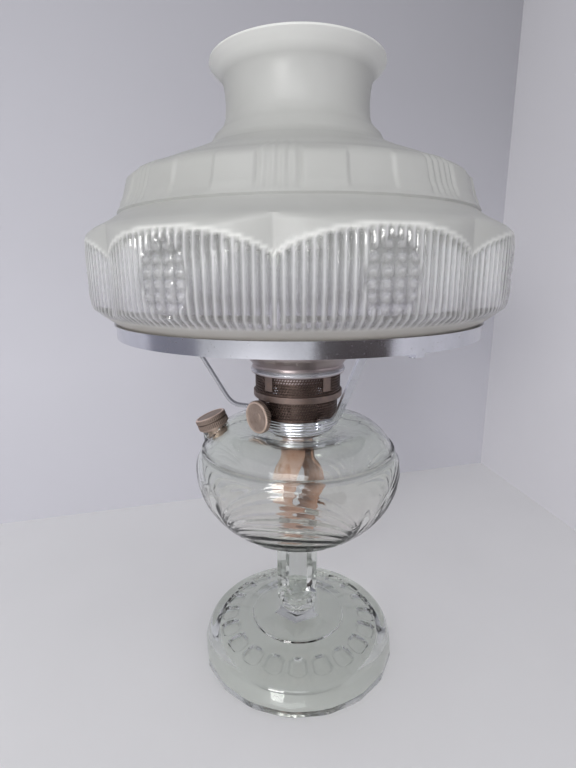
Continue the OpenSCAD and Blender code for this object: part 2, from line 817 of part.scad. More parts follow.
module gallery_lugs() {
    color("tan")
        for (az = lug_azimuths)
            toward(az)
                intersection() {
                    tube(upper_r + loose_gap + sheet, upper_r + loose_gap, gallery_z - lug_h, gallery_z);
                    translate([-lug_w / 2, -upper_r - 5, gallery_z - lug_h]) cube([lug_w, 20, lug_h]);
                }
}

module gallery_deck() {
    color("sienna")
        difference() {
            turned([[deck_bore_r, deck_z], [deck_r, deck_z], [deck_r, deck_z + sheet],
                    [deck_bore_r + sheet, deck_z + sheet], [deck_bore_r + sheet, deck_z + 5],
                    [deck_bore_r, deck_z + 5]]);
            for (i = [0:23])
                toward(i * 15)
                    for (place = [deck_bore_r + 4, deck_bore_r + 8.5])
                        translate([0, -place, deck_z - cut]) cylinder(h = sheet + 2 * cut, r = vent_r, $fn = 24);
        }
}

// One chimney prong: a foot on the deck, then a bowed spring finger
module chimney_prongs() {
    base = deck_z + sheet;
    top = gallery_z + gallery_h;
    path = rounded([[deck_r - 5, base + sheet / 2], [deck_r - 1.6, base + sheet / 2],
                    [lip_r - 4.2, top - 2], [lip_r - 3, top + prong_rise * 0.3],
                    [lip_r - 5, top + prong_rise * 0.7], [lip_r - 1, top + prong_rise]], 7);
    color("sienna")
        for (i = [0:prongs - 1])
            toward((i + 0.5) * 360 / prongs)
                translate([prong_w / 2, 0, 0])
                    rotate([90, 0, -90])
                        linear_extrude(prong_w) polygon(strip(path, sheet));
}

module flame_spreader() {
    r = inner_tube_r;
    plug_r = inner_tube_r - tube_t - 1.6 * run_gap;
    top = spreader_z + spreader_h;
    color("gray")
        difference() {
            turned([[plug_r - sheet, spreader_z - plug_h], [plug_r, spreader_z - plug_h], [plug_r, spreader_z],
                    [r, spreader_z], [r, top - 2], [r - 2, top], [0, top], [0, top - sheet],
                    [r - 2.4, top - sheet], [r - sheet, top - 2.4], [r - sheet, spreader_z + sheet],
                    [plug_r - sheet, spreader_z + sheet]]);
            for (row = [0:2])
                for (i = [0:11])
                    toward((i + row / 2) * 30)
                        spoke(0.9, r - 3, r + cut, spreader_z + 4 + row * 4, 24);
        }
}

// Outside of the shade from the hem to the rim
function shade_outside() =
    let (waist = shade_z + belly_h, bead = waist + bead_rise, top = shade_z + shade_h)
    [[hem_r, shade_z], [hem_r + 9, shade_z + 6.7], [shade_r - 2, shade_z + 13], [shade_r - 0.5, shade_z + 23],
     [shade_r, shade_z + 35], [shade_r - 2.3, waist], [shade_r - 4.6, waist + 4.3], [bead_r + 6.7, waist + 10.5],
     [bead_r, bead - 3], [bead_r - 1, bead - 1.5], [bead_r, bead], [bead_r - 2, bead + 2],
     [(bead_r + corner_r) / 2 - 1, bead + 8], [corner_r, bead + 19], [corner_r - 4, bead + 22.5],
     [corner_r - 12, bead + 24.5], [corner_r - 20, bead + 29], [rim_r + 2.5, top - 55], [rim_r - 0.5, top - 48],
     [(throat_r + rim_r) / 2, top - 45], [throat_r + 0.5, top - 36], [throat_r, top - 27],
     [throat_r + 1.4, top - 12], [(throat_r + rim_r) / 2 + 2, top - 5], [rim_r, top - 2.5], [rim_r - 0.5, top - 0.6]];

// Inside of the shade from the rim to the hem
function shade_inside() =
    let (w = shade_wall, waist = shade_z + belly_h, bead = waist + bead_rise, top = shade_z + shade_h)
    [[rim_r - w, top], [(throat_r + rim_r) / 2 - w, top - 6], [throat_r + 0.6 - w, top - 16],
     [throat_r - w, top - 27], [throat_r + 0.5 - w, top - 38], [(throat_r + rim_r) / 2 - w, top - 49],
     [rim_r + 2.5 - w, top - 56 - w], [corner_r - 21 - w / 2, bead + 27 - w], [corner_r - 4 - w, bead + 21 - w],
     [corner_r - w, bead + 18 - w], [(bead_r + corner_r) / 2 - 1 - w, bead + 8 - w / 2],
     [bead_r - 1 - w, bead - 4], [bead_r + 5 - w, waist + 8], [shade_r - 5 - w, waist + 2 - w / 2],
     [shade_r - 2.3 - w, waist - w], [shade_r - w, shade_z + 35], [shade_r - 0.5 - w, shade_z + 23],
     [shade_r - 2.4 - w, shade_z + 15], [hem_r + 8 - w, shade_z + 9], [hem_r - w, shade_z]];

// Round lobes side by side, grown or shrunk by d
module lobed_column(d, height) {
    translate([0, 0, shade_z - 2 * cut]) {
        cylinder(h = height + 4 * cut, r = lobe_shift + 20);
        for (i = [0:lobes - 1])
            toward(lobe_az + i * 360 / lobes)
                translate([0, -lobe_shift, 0]) cylinder(h = height + 4 * cut, r = lobe_circle_r + d);
    }
}

// Outline of a panel seen from outside; a narrow pier stays between it and the next one
module panel_outline() {
    half = notch_r * sin(180 / lobes) - panel_pier / 2;
    polygon(concat([[-half, shade_z + panel_foot_h]],
                   [for (i = [-6:6]) let (t = i / 6)
                        [half * t, shade_z + panel_side_h + panel_arch_h * pow(1 - t * t, 0.75)]],
                   [[half, shade_z + panel_foot_h]]));
}

// What is taken off the lobes for their panels
module panels() {
    floor_line = [for (p = shade_outside()) [p[0] - panel_in - panel_crown, p[1]]];
    difference() {
        for (i = [0:lobes - 1])
            toward(lobe_az + i * 360 / lobes)
                translate([0, -lobe_shift, 0])
                    rotate([90, 0, 0]) linear_extrude(lobe_circle_r + cut) panel_outline();
        intersection() {
            turned(concat([[0, shade_z]], floor_line, [[0, shade_z + shade_h]]));
            lobed_column(-panel_in, shade_h);
        }
    }
}

module shade() {
    color("ivory", 0.9)
        difference() {
            intersection() {
                turned(concat([[0, shade_z]], shade_outside(), [[0, shade_z + shade_h]]));
                lobed_column(0, shade_h);
            }
            intersection() {
                turned(concat([[0, shade_z + shade_h + cut], [rim_r - shade_wall, shade_z + shade_h + cut]],
                              shade_inside(), [[hem_r - shade_wall, shade_z - cut], [0, shade_z - cut]]));
                lobed_column(-shade_wall, shade_h);
            }
            panels();
        }
}

pedestal();
font_bowl();
collar();
collar_plaster();
filler_neck();
filler_cap();
cap_gasket();
tripod_base_ring();
tripod_leg_left();
tripod_leg_right();
tripod_leg_rear();
leg_rivets();
shade_ring();
ring_rivets();
burner_base();
lower_basket();
basket_band();
upper_basket();
wick_outer_tube();
wick_inner_tube();
air_ducts();
wick();
wick_carrier();
wick_rack();
knob();
knob_shaft();
pinion();
shaft_bushing();
packing_nut();
gallery();
gallery_lugs();
gallery_deck();
chimney_prongs();
flame_spreader();
shade();
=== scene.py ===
"""Looks of a kerosene table lamp: pressed glass, a frosted shade, plated straps and a bronze burner.

Lengths are drawn in millimetres and turned into metres when a piece is finished. A bearing is the
direction of a point from the lamp's axis, in degrees: 0 is the front (-Y) and 90 is the viewer's right.
"""

import json
import math

import bmesh
import bpy
from mathutils import Matrix, Vector

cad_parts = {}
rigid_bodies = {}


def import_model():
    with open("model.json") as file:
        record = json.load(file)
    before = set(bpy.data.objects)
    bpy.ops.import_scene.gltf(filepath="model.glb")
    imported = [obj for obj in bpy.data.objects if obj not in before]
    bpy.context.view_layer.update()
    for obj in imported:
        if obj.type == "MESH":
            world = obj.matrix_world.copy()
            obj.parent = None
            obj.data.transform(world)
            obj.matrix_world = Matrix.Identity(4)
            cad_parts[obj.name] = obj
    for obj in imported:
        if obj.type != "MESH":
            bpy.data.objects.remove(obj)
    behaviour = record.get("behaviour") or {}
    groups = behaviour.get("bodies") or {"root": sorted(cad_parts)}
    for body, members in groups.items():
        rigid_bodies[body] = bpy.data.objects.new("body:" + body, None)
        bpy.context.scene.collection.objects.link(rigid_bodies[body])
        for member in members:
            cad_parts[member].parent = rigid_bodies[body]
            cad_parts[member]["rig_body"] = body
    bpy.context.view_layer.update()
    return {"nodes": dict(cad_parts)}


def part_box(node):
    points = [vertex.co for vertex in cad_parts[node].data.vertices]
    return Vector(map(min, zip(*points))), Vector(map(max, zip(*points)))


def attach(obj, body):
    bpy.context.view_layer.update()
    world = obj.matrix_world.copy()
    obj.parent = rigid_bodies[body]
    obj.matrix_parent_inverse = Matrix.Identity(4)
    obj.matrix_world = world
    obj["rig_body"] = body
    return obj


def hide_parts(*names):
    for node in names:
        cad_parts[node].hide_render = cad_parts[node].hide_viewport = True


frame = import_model()

bl_info = {
    "name": "Kerosene lamp",
    "version": (1, 0, 0),
    "blender": (4, 5, 0),
    "location": "3D Viewport > Sidebar > Lamp",
    "description": "Dresses the packed lamp with its glass, metal and cotton finishes",
    "category": "Object",
}

MM = 0.001


# Drawing by turning and moving.

def ease(x):
    """Rises smoothly from 0 at x = 0 to 1 at x = 1."""
    t = min(1.0, max(0.0, x))
    return t * t * (3 - 2 * t)


def between(x, low, high, soft):
    """1 between low and high, falling to 0 over a soft edge on both sides."""
    return ease((x - low) / soft + 0.5) * ease((high - x) / soft + 0.5)


def off_centre(bearing, first, pitch):
    """Degrees from the nearest of the marks at first, first + pitch and so on."""
    return (bearing - first + pitch / 2) % pitch - pitch / 2


def flat_side(bearing, sides, corner):
    """Radius of a many-sided outline at this bearing, for a corner radius of 1."""
    half = 180 / sides
    off = off_centre(bearing, corner + half, 2 * half)
    return math.cos(math.radians(half)) / math.cos(math.radians(off))


def turned(points, steps, start=0.0, gap=None, closed=True, soften=0):
    """Turns an outline of (radius, height, mark) points round the axis.

    The mark is kept on every point of the surface, so that a rule can tell one wall from another.
    A gap splits long sides, and soften rounds the outline's corners before it is turned.
    """
    form = bmesh.new()
    mark = form.verts.layers.float.new("mark")
    chain = []
    for point in points:
        vert = form.verts.new((0.0, -point[0], point[1]))
        vert[mark] = point[2] if len(point) > 2 else 0.0
        chain.append(vert)
    sides = [form.edges.new(pair) for pair in zip(chain, chain[1:])]
    if closed:
        sides.append(form.edges.new((chain[-1], chain[0])))
    if gap:
        for side in sides:
            middle = (side.verts[0].co + side.verts[1].co) / 2
            outer = (side.verts[0][mark] + side.verts[1][mark]) / 2
            cuts = int(side.calc_length() / gap(middle.z, outer))
            if cuts:
                bmesh.ops.subdivide_edges(form, edges=[side], cuts=cuts)
    for _ in range(soften):
        inner = [vert for vert in form.verts if len(vert.link_edges) == 2]
        bmesh.ops.smooth_vert(
            form, verts=inner, factor=0.5, use_axis_x=False, use_axis_y=True, use_axis_z=True)
    bmesh.ops.rotate(form, verts=form.verts, matrix=Matrix.Rotation(math.radians(start), 3, "Z"))
    bmesh.ops.spin(
        form, geom=form.verts[:] + form.edges[:], cent=(0, 0, 0), axis=(0, 0, 1),
        dvec=(0, 0, 0), angle=2 * math.pi, steps=steps, use_merge=True, use_duplicate=False)
    bmesh.ops.remove_doubles(form, verts=form.verts, dist=0.001)
    return form


def reshape(form, rule):
    """Moves the points of a turned form by a rule of bearing, radius, height and mark."""
    mark = form.verts.layers.float["mark"]
    for vert in form.verts:
        x, y, z = vert.co
        radius = math.hypot(x, y)
        if radius > 0.01:
            bearing = math.degrees(math.atan2(x, -y))
            new_radius, new_z = rule(bearing, radius, z, vert[mark])
            vert.co = (x * new_radius / radius, y * new_radius / radius, new_z)


def shade_edges(form, crease):
    """Smooth faces, with every edge sharper than the crease kept crisp."""
    limit = math.radians(crease)
    for face in form.faces:
        face.smooth = True
    for edge in form.edges:
        edge.smooth = edge.calc_face_angle(0.0) < limit


def finish_piece(form, name, finish, body, stands_for=(), crease=30.0, place=None):
    """Closes a form, puts it in place and makes it a piece that rides on its body."""
    bmesh.ops.remove_doubles(form, verts=form.verts, dist=0.001)
    bmesh.ops.recalc_face_normals(form, faces=form.faces)
    shade_edges(form, crease)
    if place is not None:
        bmesh.ops.transform(form, matrix=place, verts=form.verts)
    bmesh.ops.scale(form, vec=(MM, MM, MM), verts=form.verts)
    mesh = bpy.data.meshes.new(name)
    form.to_mesh(mesh)
    form.free()
    return add_piece(mesh, name, finish, body, stands_for)


def add_piece(mesh, name, finish, body, stands_for):
    """Links a mesh to the scene as a finished piece."""
    piece = bpy.data.objects.new(name, mesh)
    bpy.context.scene.collection.objects.link(piece)
    mesh.materials.append(finish)
    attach(piece, body)
    if stands_for:
        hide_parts(*stands_for)
    return piece


def cleaned_copy(node, name, finish, edge_width=0.2, crease=32.0):
    """Merged copy of a CAD node, with smooth faces and softly rounded edges."""
    source = frame["nodes"][node]
    form = bmesh.new()
    form.from_mesh(source.data)
    bmesh.ops.remove_doubles(form, verts=form.verts, dist=0.00002)
    bmesh.ops.dissolve_limit(
        form, angle_limit=math.radians(0.6), use_dissolve_boundaries=False,
        verts=form.verts, edges=form.edges)
    shade_edges(form, crease)
    mesh = bpy.data.meshes.new(name)
    form.to_mesh(mesh)
    form.free()
    piece = add_piece(mesh, name, finish, source["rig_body"], [node])
    if edge_width:
        bevel = piece.modifiers.new("Edges", "BEVEL")
        bevel.width = edge_width * MM
        bevel.segments = 2
        bevel.limit_method = "ANGLE"
        bevel.angle_limit = math.radians(crease)
        bevel.use_clamp_overlap = True
        bevel.harden_normals = True
    return piece


def dress(finish, *nodes):
    """Gives CAD nodes that stay in view their finish."""
    for node in nodes:
        piece = frame["nodes"][node]
        if not piece.material_slots:
            piece.data.materials.append(finish)
        for slot in piece.material_slots:
            slot.material = finish


# Finishes.

class Wire:
    """A node's output that can be used in sums, so a pattern reads as plain arithmetic."""

    def __init__(self, finish, socket):
        self.finish = finish
        self.socket = socket

    def sum_with(self, operation, other=None, turned_round=False):
        values = [self] if other is None else [self, other]
        if turned_round:
            values.reverse()
        return self.finish.node("Math", {"operation": operation}, dict(enumerate(values)))

    def __add__(self, other):
        return self.sum_with("ADD", other)

    def __sub__(self, other):
        return self.sum_with("SUBTRACT", other)

    def __rsub__(self, other):
        return self.sum_with("SUBTRACT", other, True)

    def __mul__(self, other):
        return self.sum_with("MULTIPLY", other)

    def __truediv__(self, other):
        return self.sum_with("DIVIDE", other)

    def __rtruediv__(self, other):
        return self.sum_with("DIVIDE", other, True)

    def __pow__(self, other):
        return self.sum_with("POWER", other)

    __radd__ = __add__
    __rmul__ = __mul__

    def sine(self):
        return self.sum_with("SINE")

    def size(self):
        return self.sum_with("ABSOLUTE")

    def over(self, low, high):
        """0 below low, 1 above high, and straight in between."""
        return self.finish.node("MapRange", {"clamp": True}, {"Value": self, "From Min": low, "From Max": high})


class Finish:
    """One procedural material, built on its piece's own coordinates."""

    def __init__(self, name):
        self.material = bpy.data.materials.new(name)
        self.material.use_nodes = True
        self.tree = self.material.node_tree
        self.tree.nodes.clear()

    def node(self, kind, settings=None, inputs=None, output=0):
        """Adds a node: its settings first, then the values or wires of its sockets."""
        made = self.tree.nodes.new("ShaderNode" + kind)
        for name, value in (settings or {}).items():
            if name == "stops":
                self.set_stops(made.color_ramp.elements, value)
            else:
                setattr(made, name, value)
        for place, value in (inputs or {}).items():
            if isinstance(value, Wire):
                self.tree.links.new(value.socket, made.inputs[place])
            else:
                made.inputs[place].default_value = value
        return Wire(self, made.outputs[output])

    def set_stops(self, elements, stops):
        """Places a ramp's colours."""
        while len(elements) < len(stops):
            elements.new(0.5)
        for element, (place, colour) in zip(elements, stops):
            element.position = place
            element.color = colour

    def position(self):
        """The point on the piece, in millimetres."""
        here = self.node("TexCoord", output="Object")
        return self.node("VectorMath", {"operation": "SCALE"}, {0: here, "Scale": 1000.0})

    def stretched(self, x, y, z):
        """The point in millimetres, with each axis scaled."""
        return self.node("VectorMath", {"operation": "MULTIPLY"}, {0: self.position(), 1: (x, y, z)})

    def noise(self, scale, detail=3.0, rough=0.55, where=None):
        """Cloudy pattern; scale is in patches per millimetre."""
        return self.node("TexNoise", {}, {
            "Vector": where or self.position(), "Scale": scale, "Detail": detail, "Roughness": rough})

    def mix(self, share, first, second, blend="MIX"):
        """Colour between first and second."""
        return self.node("Mix", {"data_type": "RGBA", "blend_type": blend}, {0: share, 6: first, 7: second}, 2)

    def bump(self, height, depth):
        """Normal for a relief; depth is in millimetres."""
        return self.node("Bump", {}, {"Strength": 1.0, "Distance": depth * MM, "Height": height})

    def attribute(self, name):
        """A number kept on the piece's points; 0 on a piece that has none."""
        return self.node("Attribute", {"attribute_type": "GEOMETRY", "attribute_name": name}, output="Fac")

    def height(self):
        """Height of the point above the table, in millimetres."""
        return self.node("SeparateXYZ", {}, {0: self.position()}, 2)

    def surface(self, **sockets):
        """The main shader; words in socket names are joined by underscores."""
        return self.node("BsdfPrincipled", {}, {name.replace("_", " "): value for name, value in sockets.items()})

    def lets_light_in(self, shader, share):
        """Glass that doesn't throw a full shadow on what lies in or under it."""
        shadow = self.node("LightPath", output="Is Shadow Ray")
        clear = self.node("BsdfTransparent")
        return self.node("MixShader", {}, {0: shadow * share, 1: shader, 2: clear})

    def done(self, shader):
        """Links the shader to the material's output."""
        out = self.tree.nodes.new("ShaderNodeOutputMaterial")
        self.tree.links.new(shader.socket, out.inputs["Surface"])
        return self.material


def solid(colour, factor=1.0):
    """A picked colour as four numbers, made lighter or darker."""
    return (colour[0] * factor, colour[1] * factor, colour[2] * factor, 1.0)


def clear_glass(name, tint, low_tint, low_z, high_z, hollow_dirt_and_shade=0.62):
    """Clear pressed glass: faint mould waves, smears, and darkening in the pattern's hollows that is partly dirt and
    partly painted shade.
    """
    glass = Finish(name)
    waves = glass.noise(0.045, 2.0, 0.4)
    smears = glass.noise(0.12, 4.0, 0.6)
    hollow = glass.attribute("hollow")
    rise = glass.height().over(low_z, high_z)
    colour = glass.mix(rise, solid(low_tint), solid(tint))
    # Painted shade, partly dirt: the pattern's hollows and the bowl's ridge are darkened.
    colour = glass.mix(hollow * (0.4 + smears * 0.5), colour, solid(tint, hollow_dirt_and_shade))
    clear = glass.surface(
        Base_Color=colour,
        Roughness=smears.over(0.45, 0.75) * 0.05 + hollow * 0.1 + (1 - rise) * 0.03 + 0.015,
        IOR=1.5,
        Transmission_Weight=1.0,
        Normal=glass.bump(waves, 0.35))
    return glass.done(glass.lets_light_in(clear, 0.85))


def shade_glass(colours):
    """Frosted shade: satin glass, clear in its ribbed panels, with an oily stain at the hem, painted highlights on the
    rib crests and raised edges, and painted shade low in the clear panels.
    """
    glass = Finish("Frosted_shade_glass")
    z = glass.height()
    grain = glass.noise(1.4, 2.0, 0.6)
    cloud = glass.noise(0.02, 3.0, 0.6)
    clear = glass.attribute("clear")
    lip = glass.attribute("lip")
    stain = (1 - z.over(285, 294)) * (0.3 + cloud * 0.8)
    satin = glass.mix(cloud.over(0.3, 0.7), solid(colours.frost), solid(colours.frost_shadow))
    satin = glass.mix(stain * 0.75, satin, solid(colours.hem_stain))
    # Painted light that grows with height: brighter rib highlights and lighter clear panels towards the panels' tops.
    painted_light_rise = z.over(299, 318)
    # Painted highlight: the rib crests and waffle pyramids are whitened.
    satin = glass.mix(glass.attribute("crest") * (0.65 + painted_light_rise * 0.35), satin, (0.99, 0.99, 1.0, 1.0))
    # Painted highlight along the raised edge over each panel and round the top rim.
    satin = glass.mix(lip * 0.85, satin, solid(colours.frost, 1.58))
    frosted = glass.surface(
        Base_Color=satin,
        Roughness=0.4 + grain * 0.14,
        IOR=1.45,
        Transmission_Weight=0.45,
        Coat_Weight=0.14,
        Coat_Roughness=0.25,
        Normal=glass.bump(grain, 0.06))
    # Painted shade: the clear panels darken towards their bottoms.
    pane = glass.mix(painted_light_rise, solid(colours.rib_glass_painted_shade), solid(colours.rib_glass))
    pane = glass.mix(stain * 0.6, pane, solid(colours.hem_stain))
    ribbed = glass.surface(
        Base_Color=pane,
        Roughness=0.16 + cloud * 0.1,
        IOR=1.5,
        Transmission_Weight=1.0,
        Coat_Weight=1.0,
        Coat_Roughness=0.04)
    both = glass.node("MixShader", {}, {0: clear * 0.85, 1: frosted, 2: ribbed})
    return glass.done(glass.lets_light_in(both, 0.4))


def plating(name, colours, tone=1.0, rings=0.0):
    """Bright plating, hazed and finely scratched, with a few duller specks and, if asked for, turned rings."""
    metal = Finish(name)
    haze = metal.noise(0.06, 5.0, 0.65)
    scratch = metal.noise(0.9, 2.0, 0.5, metal.stretched(0.25, 0.25, 6.0))
    specks = metal.noise(0.8, 2.0, 0.5).over(0.66, 0.74)
    colour = metal.mix(
        haze.over(0.35, 0.75) * 0.5, solid(colours.plating, tone), solid(colours.plating, 0.72 * tone))
    colour = metal.mix(specks * 0.5, colour, solid(colours.bronze, 1.4))
    turned_rings = (metal.height() * (2 * math.pi / 2.1)).sine()
    return metal.done(metal.surface(
        Base_Color=colour,
        Metallic=1.0,
        Roughness=0.1 + haze * 0.16 + specks * 0.2,
        Normal=metal.bump(scratch * 0.012 + turned_rings * rings, 1.0)))


def bronze(name, dark, light, worn=0.35):
    """Dark bronze finish: mottled patina with rubbed, lighter patches."""
    metal = Finish(name)
    patina = metal.noise(0.22, 6.0, 0.7)
    fine = metal.noise(1.6, 3.0, 0.6)
    rubbed = (patina * 0.7 + fine * 0.3).over(0.46, 0.62)
    colour = metal.mix(rubbed * worn, solid(dark), solid(light))
    return metal.done(metal.surface(
        Base_Color=colour,
        Metallic=0.85,
        Roughness=0.5 - rubbed * 0.14,
        Normal=metal.bump(fine, 0.03)))


def brass(name, tone, stain):
    """Dull aged brass with brown stains, a faint turning grain, painted shade in its grooves and a lighter rim that is
    partly wear and partly painted highlight.
    """
    metal = Finish(name)
    cloud = metal.noise(0.14, 5.0, 0.65)
    grain = metal.noise(1.2, 3.0, 0.6)
    spots = metal.noise(0.5, 2.0, 0.5).over(0.6, 0.72)
    groove = metal.attribute("groove")
    worn = metal.attribute("worn")
    colour = metal.mix(cloud.over(0.35, 0.7) * 0.7, solid(tone), solid(stain))
    colour = metal.mix(spots * 0.35, colour, solid(stain, 0.5))
    # Painted shade in the grooves.
    colour = metal.mix(groove * 0.85, colour, solid(stain, 0.22))
    # A lighter, smoother rim: partly wear, partly painted highlight.
    colour = metal.mix(worn, colour, solid(tone, 2.1))
    return metal.done(metal.surface(
        Base_Color=colour,
        Metallic=0.8,
        Roughness=0.42 + cloud * 0.16 - worn * 0.2,
        Normal=metal.bump(grain, 0.02)))


def tarnished(name, tone, bright):
    """Tarnished nickel: smooth, with brown clouds and a painted highlight round the gallery's beaded edge."""
    metal = Finish(name)
    cloud = metal.noise(0.05, 3.0, 0.5)
    grain = metal.noise(0.8, 2.0, 0.5, metal.stretched(0.3, 0.3, 4.0))
    z = metal.height()
    # Painted highlight: a bright band round the gallery's beaded edge, in the plating's colour.
    painted_bead_highlight = 1 - ((z - 246.5) / 2.2).size().over(0.3, 1.0)
    colour = metal.mix(cloud.over(0.35, 0.65) * 0.6, solid(tone), solid(tone, 0.6))
    colour = metal.mix(painted_bead_highlight * 0.75, colour, solid(bright))
    return metal.done(metal.surface(
        Base_Color=colour,
        Metallic=1.0,
        Roughness=0.3 + cloud * 0.12 - painted_bead_highlight * 0.1,
        Normal=metal.bump(grain, 0.01)))


def dulled_steel(tone):
    """Spreader steel, browned and blued by heat towards its top."""
    metal = Finish("Heat_dulled_steel")
    cloud = metal.noise(0.3, 4.0, 0.6)
    rise = (metal.height().over(250, 269) + cloud * 0.4 - 0.2)
    heat = metal.node("ValToRGB", {"stops": [
        (0.0, solid(tone)), (0.45, (0.34, 0.24, 0.16, 1.0)), (0.8, (0.2, 0.2, 0.26, 1.0)), (1.0, solid(tone, 0.5))]},
        {0: rise})
    return metal.done(metal.surface(
        Base_Color=heat, Metallic=0.9, Roughness=0.38 + cloud * 0.2, Normal=metal.bump(cloud, 0.03)))


def wick_cloth(tone, oiled):
    """Woven cotton: crossing threads, loose fibres and oil that has crept up from the tails."""
    cloth = Finish("Woven_cotton")
    across = cloth.attribute("across")
    along = cloth.attribute("along")
    warp = (across * (2 * math.pi / 1.3)).sine().size()
    weft = (along * (2 * math.pi / 1.1)).sine().size()
    threads = warp * 0.6 + weft * 0.4
    fuzz = cloth.noise(2.2, 3.0, 0.7)
    soaked = 1 - (cloth.height() + cloth.noise(0.09, 4.0, 0.7) * 60).over(150, 200)
    streaks = cloth.noise(0.25, 3.0, 0.6, cloth.stretched(1.0, 1.0, 0.25)).over(0.42, 0.62)
    colour = cloth.mix(threads * 0.5, solid(tone, 0.72), solid(tone))
    colour = cloth.mix(streaks * 0.8, colour, solid(oiled, 1.05))
    # Darker towards the top, where the wick rises into its tube.
    colour = cloth.mix(cloth.height().over(164, 180) * 0.7, colour, solid(oiled, 0.8))
    colour = cloth.mix(soaked * 0.85, colour, solid(oiled))
    colour = cloth.mix(fuzz.over(0.5, 0.8) * 0.25, colour, solid(tone, 1.15))
    return cloth.done(cloth.surface(
        Base_Color=colour,
        Roughness=0.9,
        Sheen_Weight=0.3,
        Sheen_Roughness=0.5,
        Normal=cloth.bump(threads + fuzz * 0.4, 0.25)))


def cork(tone):
    """Ground cork: pale and dark granules."""
    sheet = Finish("Ground_cork")
    grains = sheet.node("TexVoronoi", {}, {"Vector": sheet.position(), "Scale": 0.9})
    fine = sheet.noise(1.5, 3.0)
    colour = sheet.mix(grains.over(0.1, 0.6), solid(tone, 0.6), solid(tone, 1.25))
    return sheet.done(sheet.surface(
        Base_Color=colour, Roughness=0.85, Normal=sheet.bump(fine, 0.1)))


def set_plaster(tone):
    """Old plaster: fine pores and yellowed patches."""
    paste = Finish("Old_plaster")
    pores = paste.noise(1.2, 4.0, 0.7)
    patches = paste.noise(0.15, 3.0)
    colour = paste.mix(patches.over(0.35, 0.75) * 0.6, solid(tone), (0.66, 0.58, 0.42, 1.0))
    return paste.done(paste.surface(
        Base_Color=colour, Roughness=0.9, Normal=paste.bump(pores, 0.12)))


def painted_wall(name, colour, mottle, top, end):
    """Plain matt backdrop that darkens towards its top and one end as painted shade, and is only there from its front.
    """
    board = Finish(name)
    cloud = board.noise(0.004, 3.0, 0.5)
    along = board.node("SeparateXYZ", {}, {0: board.position()}, 0)
    tone = board.mix(cloud.over(0.3, 0.7) * mottle, solid(colour), solid(colour, 0.93))
    rise = board.height().over(200, 900)
    # Painted shade towards the top and towards the far end.
    tone = board.mix(rise, tone, solid(colour, top))
    tone = board.mix(along.over(-250, 300) * rise.over(0, 0.5), tone, (end, end, end, 1.0), "MULTIPLY")
    paint = board.surface(Base_Color=tone, Roughness=0.75)
    behind = board.node("NewGeometry", output="Backfacing")
    gone = board.node("BsdfTransparent")
    return board.done(board.node("MixShader", {}, {0: behind, 1: paint, 2: gone}))


# Sizes and colours that a user may change.

class LampGlassSizes(bpy.types.PropertyGroup):
    """Pressed pattern on the foot and the bowl."""

    foot_flutes: bpy.props.IntProperty(
        name="Foot flutes", description="Scooped flutes on the foot's upper face", default=20, min=12, max=36)
    flute_depth: bpy.props.FloatProperty(
        name="Flute depth", description="How deep each flute is scooped", default=0.0022, unit="LENGTH")
    arches: bpy.props.IntProperty(
        name="Arches", description="Panels of nested arches round the bowl", default=4, min=3, max=8)
    arch_depth: bpy.props.FloatProperty(
        name="Arch depth", description="Relief of the arches' folds", default=0.0009, unit="LENGTH")


class LampShadeSizes(bpy.types.PropertyGroup):
    """Pressed pattern on the shade."""

    ribs: bpy.props.IntProperty(
        name="Ribs in a panel", description="Upright ribs in each lobe's clear panel", default=24, min=12, max=24)
    rib_depth: bpy.props.FloatProperty(
        name="Rib depth", description="How far a rib stands out", default=0.0016, unit="LENGTH")
    panel_depth: bpy.props.FloatProperty(
        name="Panel depth", description="How far a clear panel lies inside the frosted skin",
        default=0.0016, unit="LENGTH")
    waffle_depth: bpy.props.FloatProperty(
        name="Waffle depth", description="Height of the small pyramids", default=0.0018, unit="LENGTH")
    fold_depth: bpy.props.FloatProperty(
        name="Shoulder fold depth", description="Relief of the folds on the shoulder", default=0.0014,
        unit="LENGTH")


class LampMetalSizes(bpy.types.PropertyGroup):
    """Perforated bands, knob and filler cap."""

    mesh_columns: bpy.props.IntProperty(
        name="Holes round a band", description="Holes in each row of the perforated bands", default=96, min=36, max=96)
    mesh_rows: bpy.props.IntProperty(
        name="Rows of holes", description="Rows of holes in each perforated band", default=6, min=3, max=7)
    knurls: bpy.props.IntProperty(
        name="Knob teeth", description="Milled teeth round the knob", default=60, min=30, max=90)
    cap_ribs: bpy.props.IntProperty(
        name="Cap ribs", description="Ribs round the filler cap", default=48, min=24, max=72)


def colour_choice(name, description, default):
    """A colour that shows as a swatch in the panel."""
    return bpy.props.FloatVectorProperty(
        name=name, description=description, default=default, min=0.0, max=1.0, size=3, subtype="COLOR")


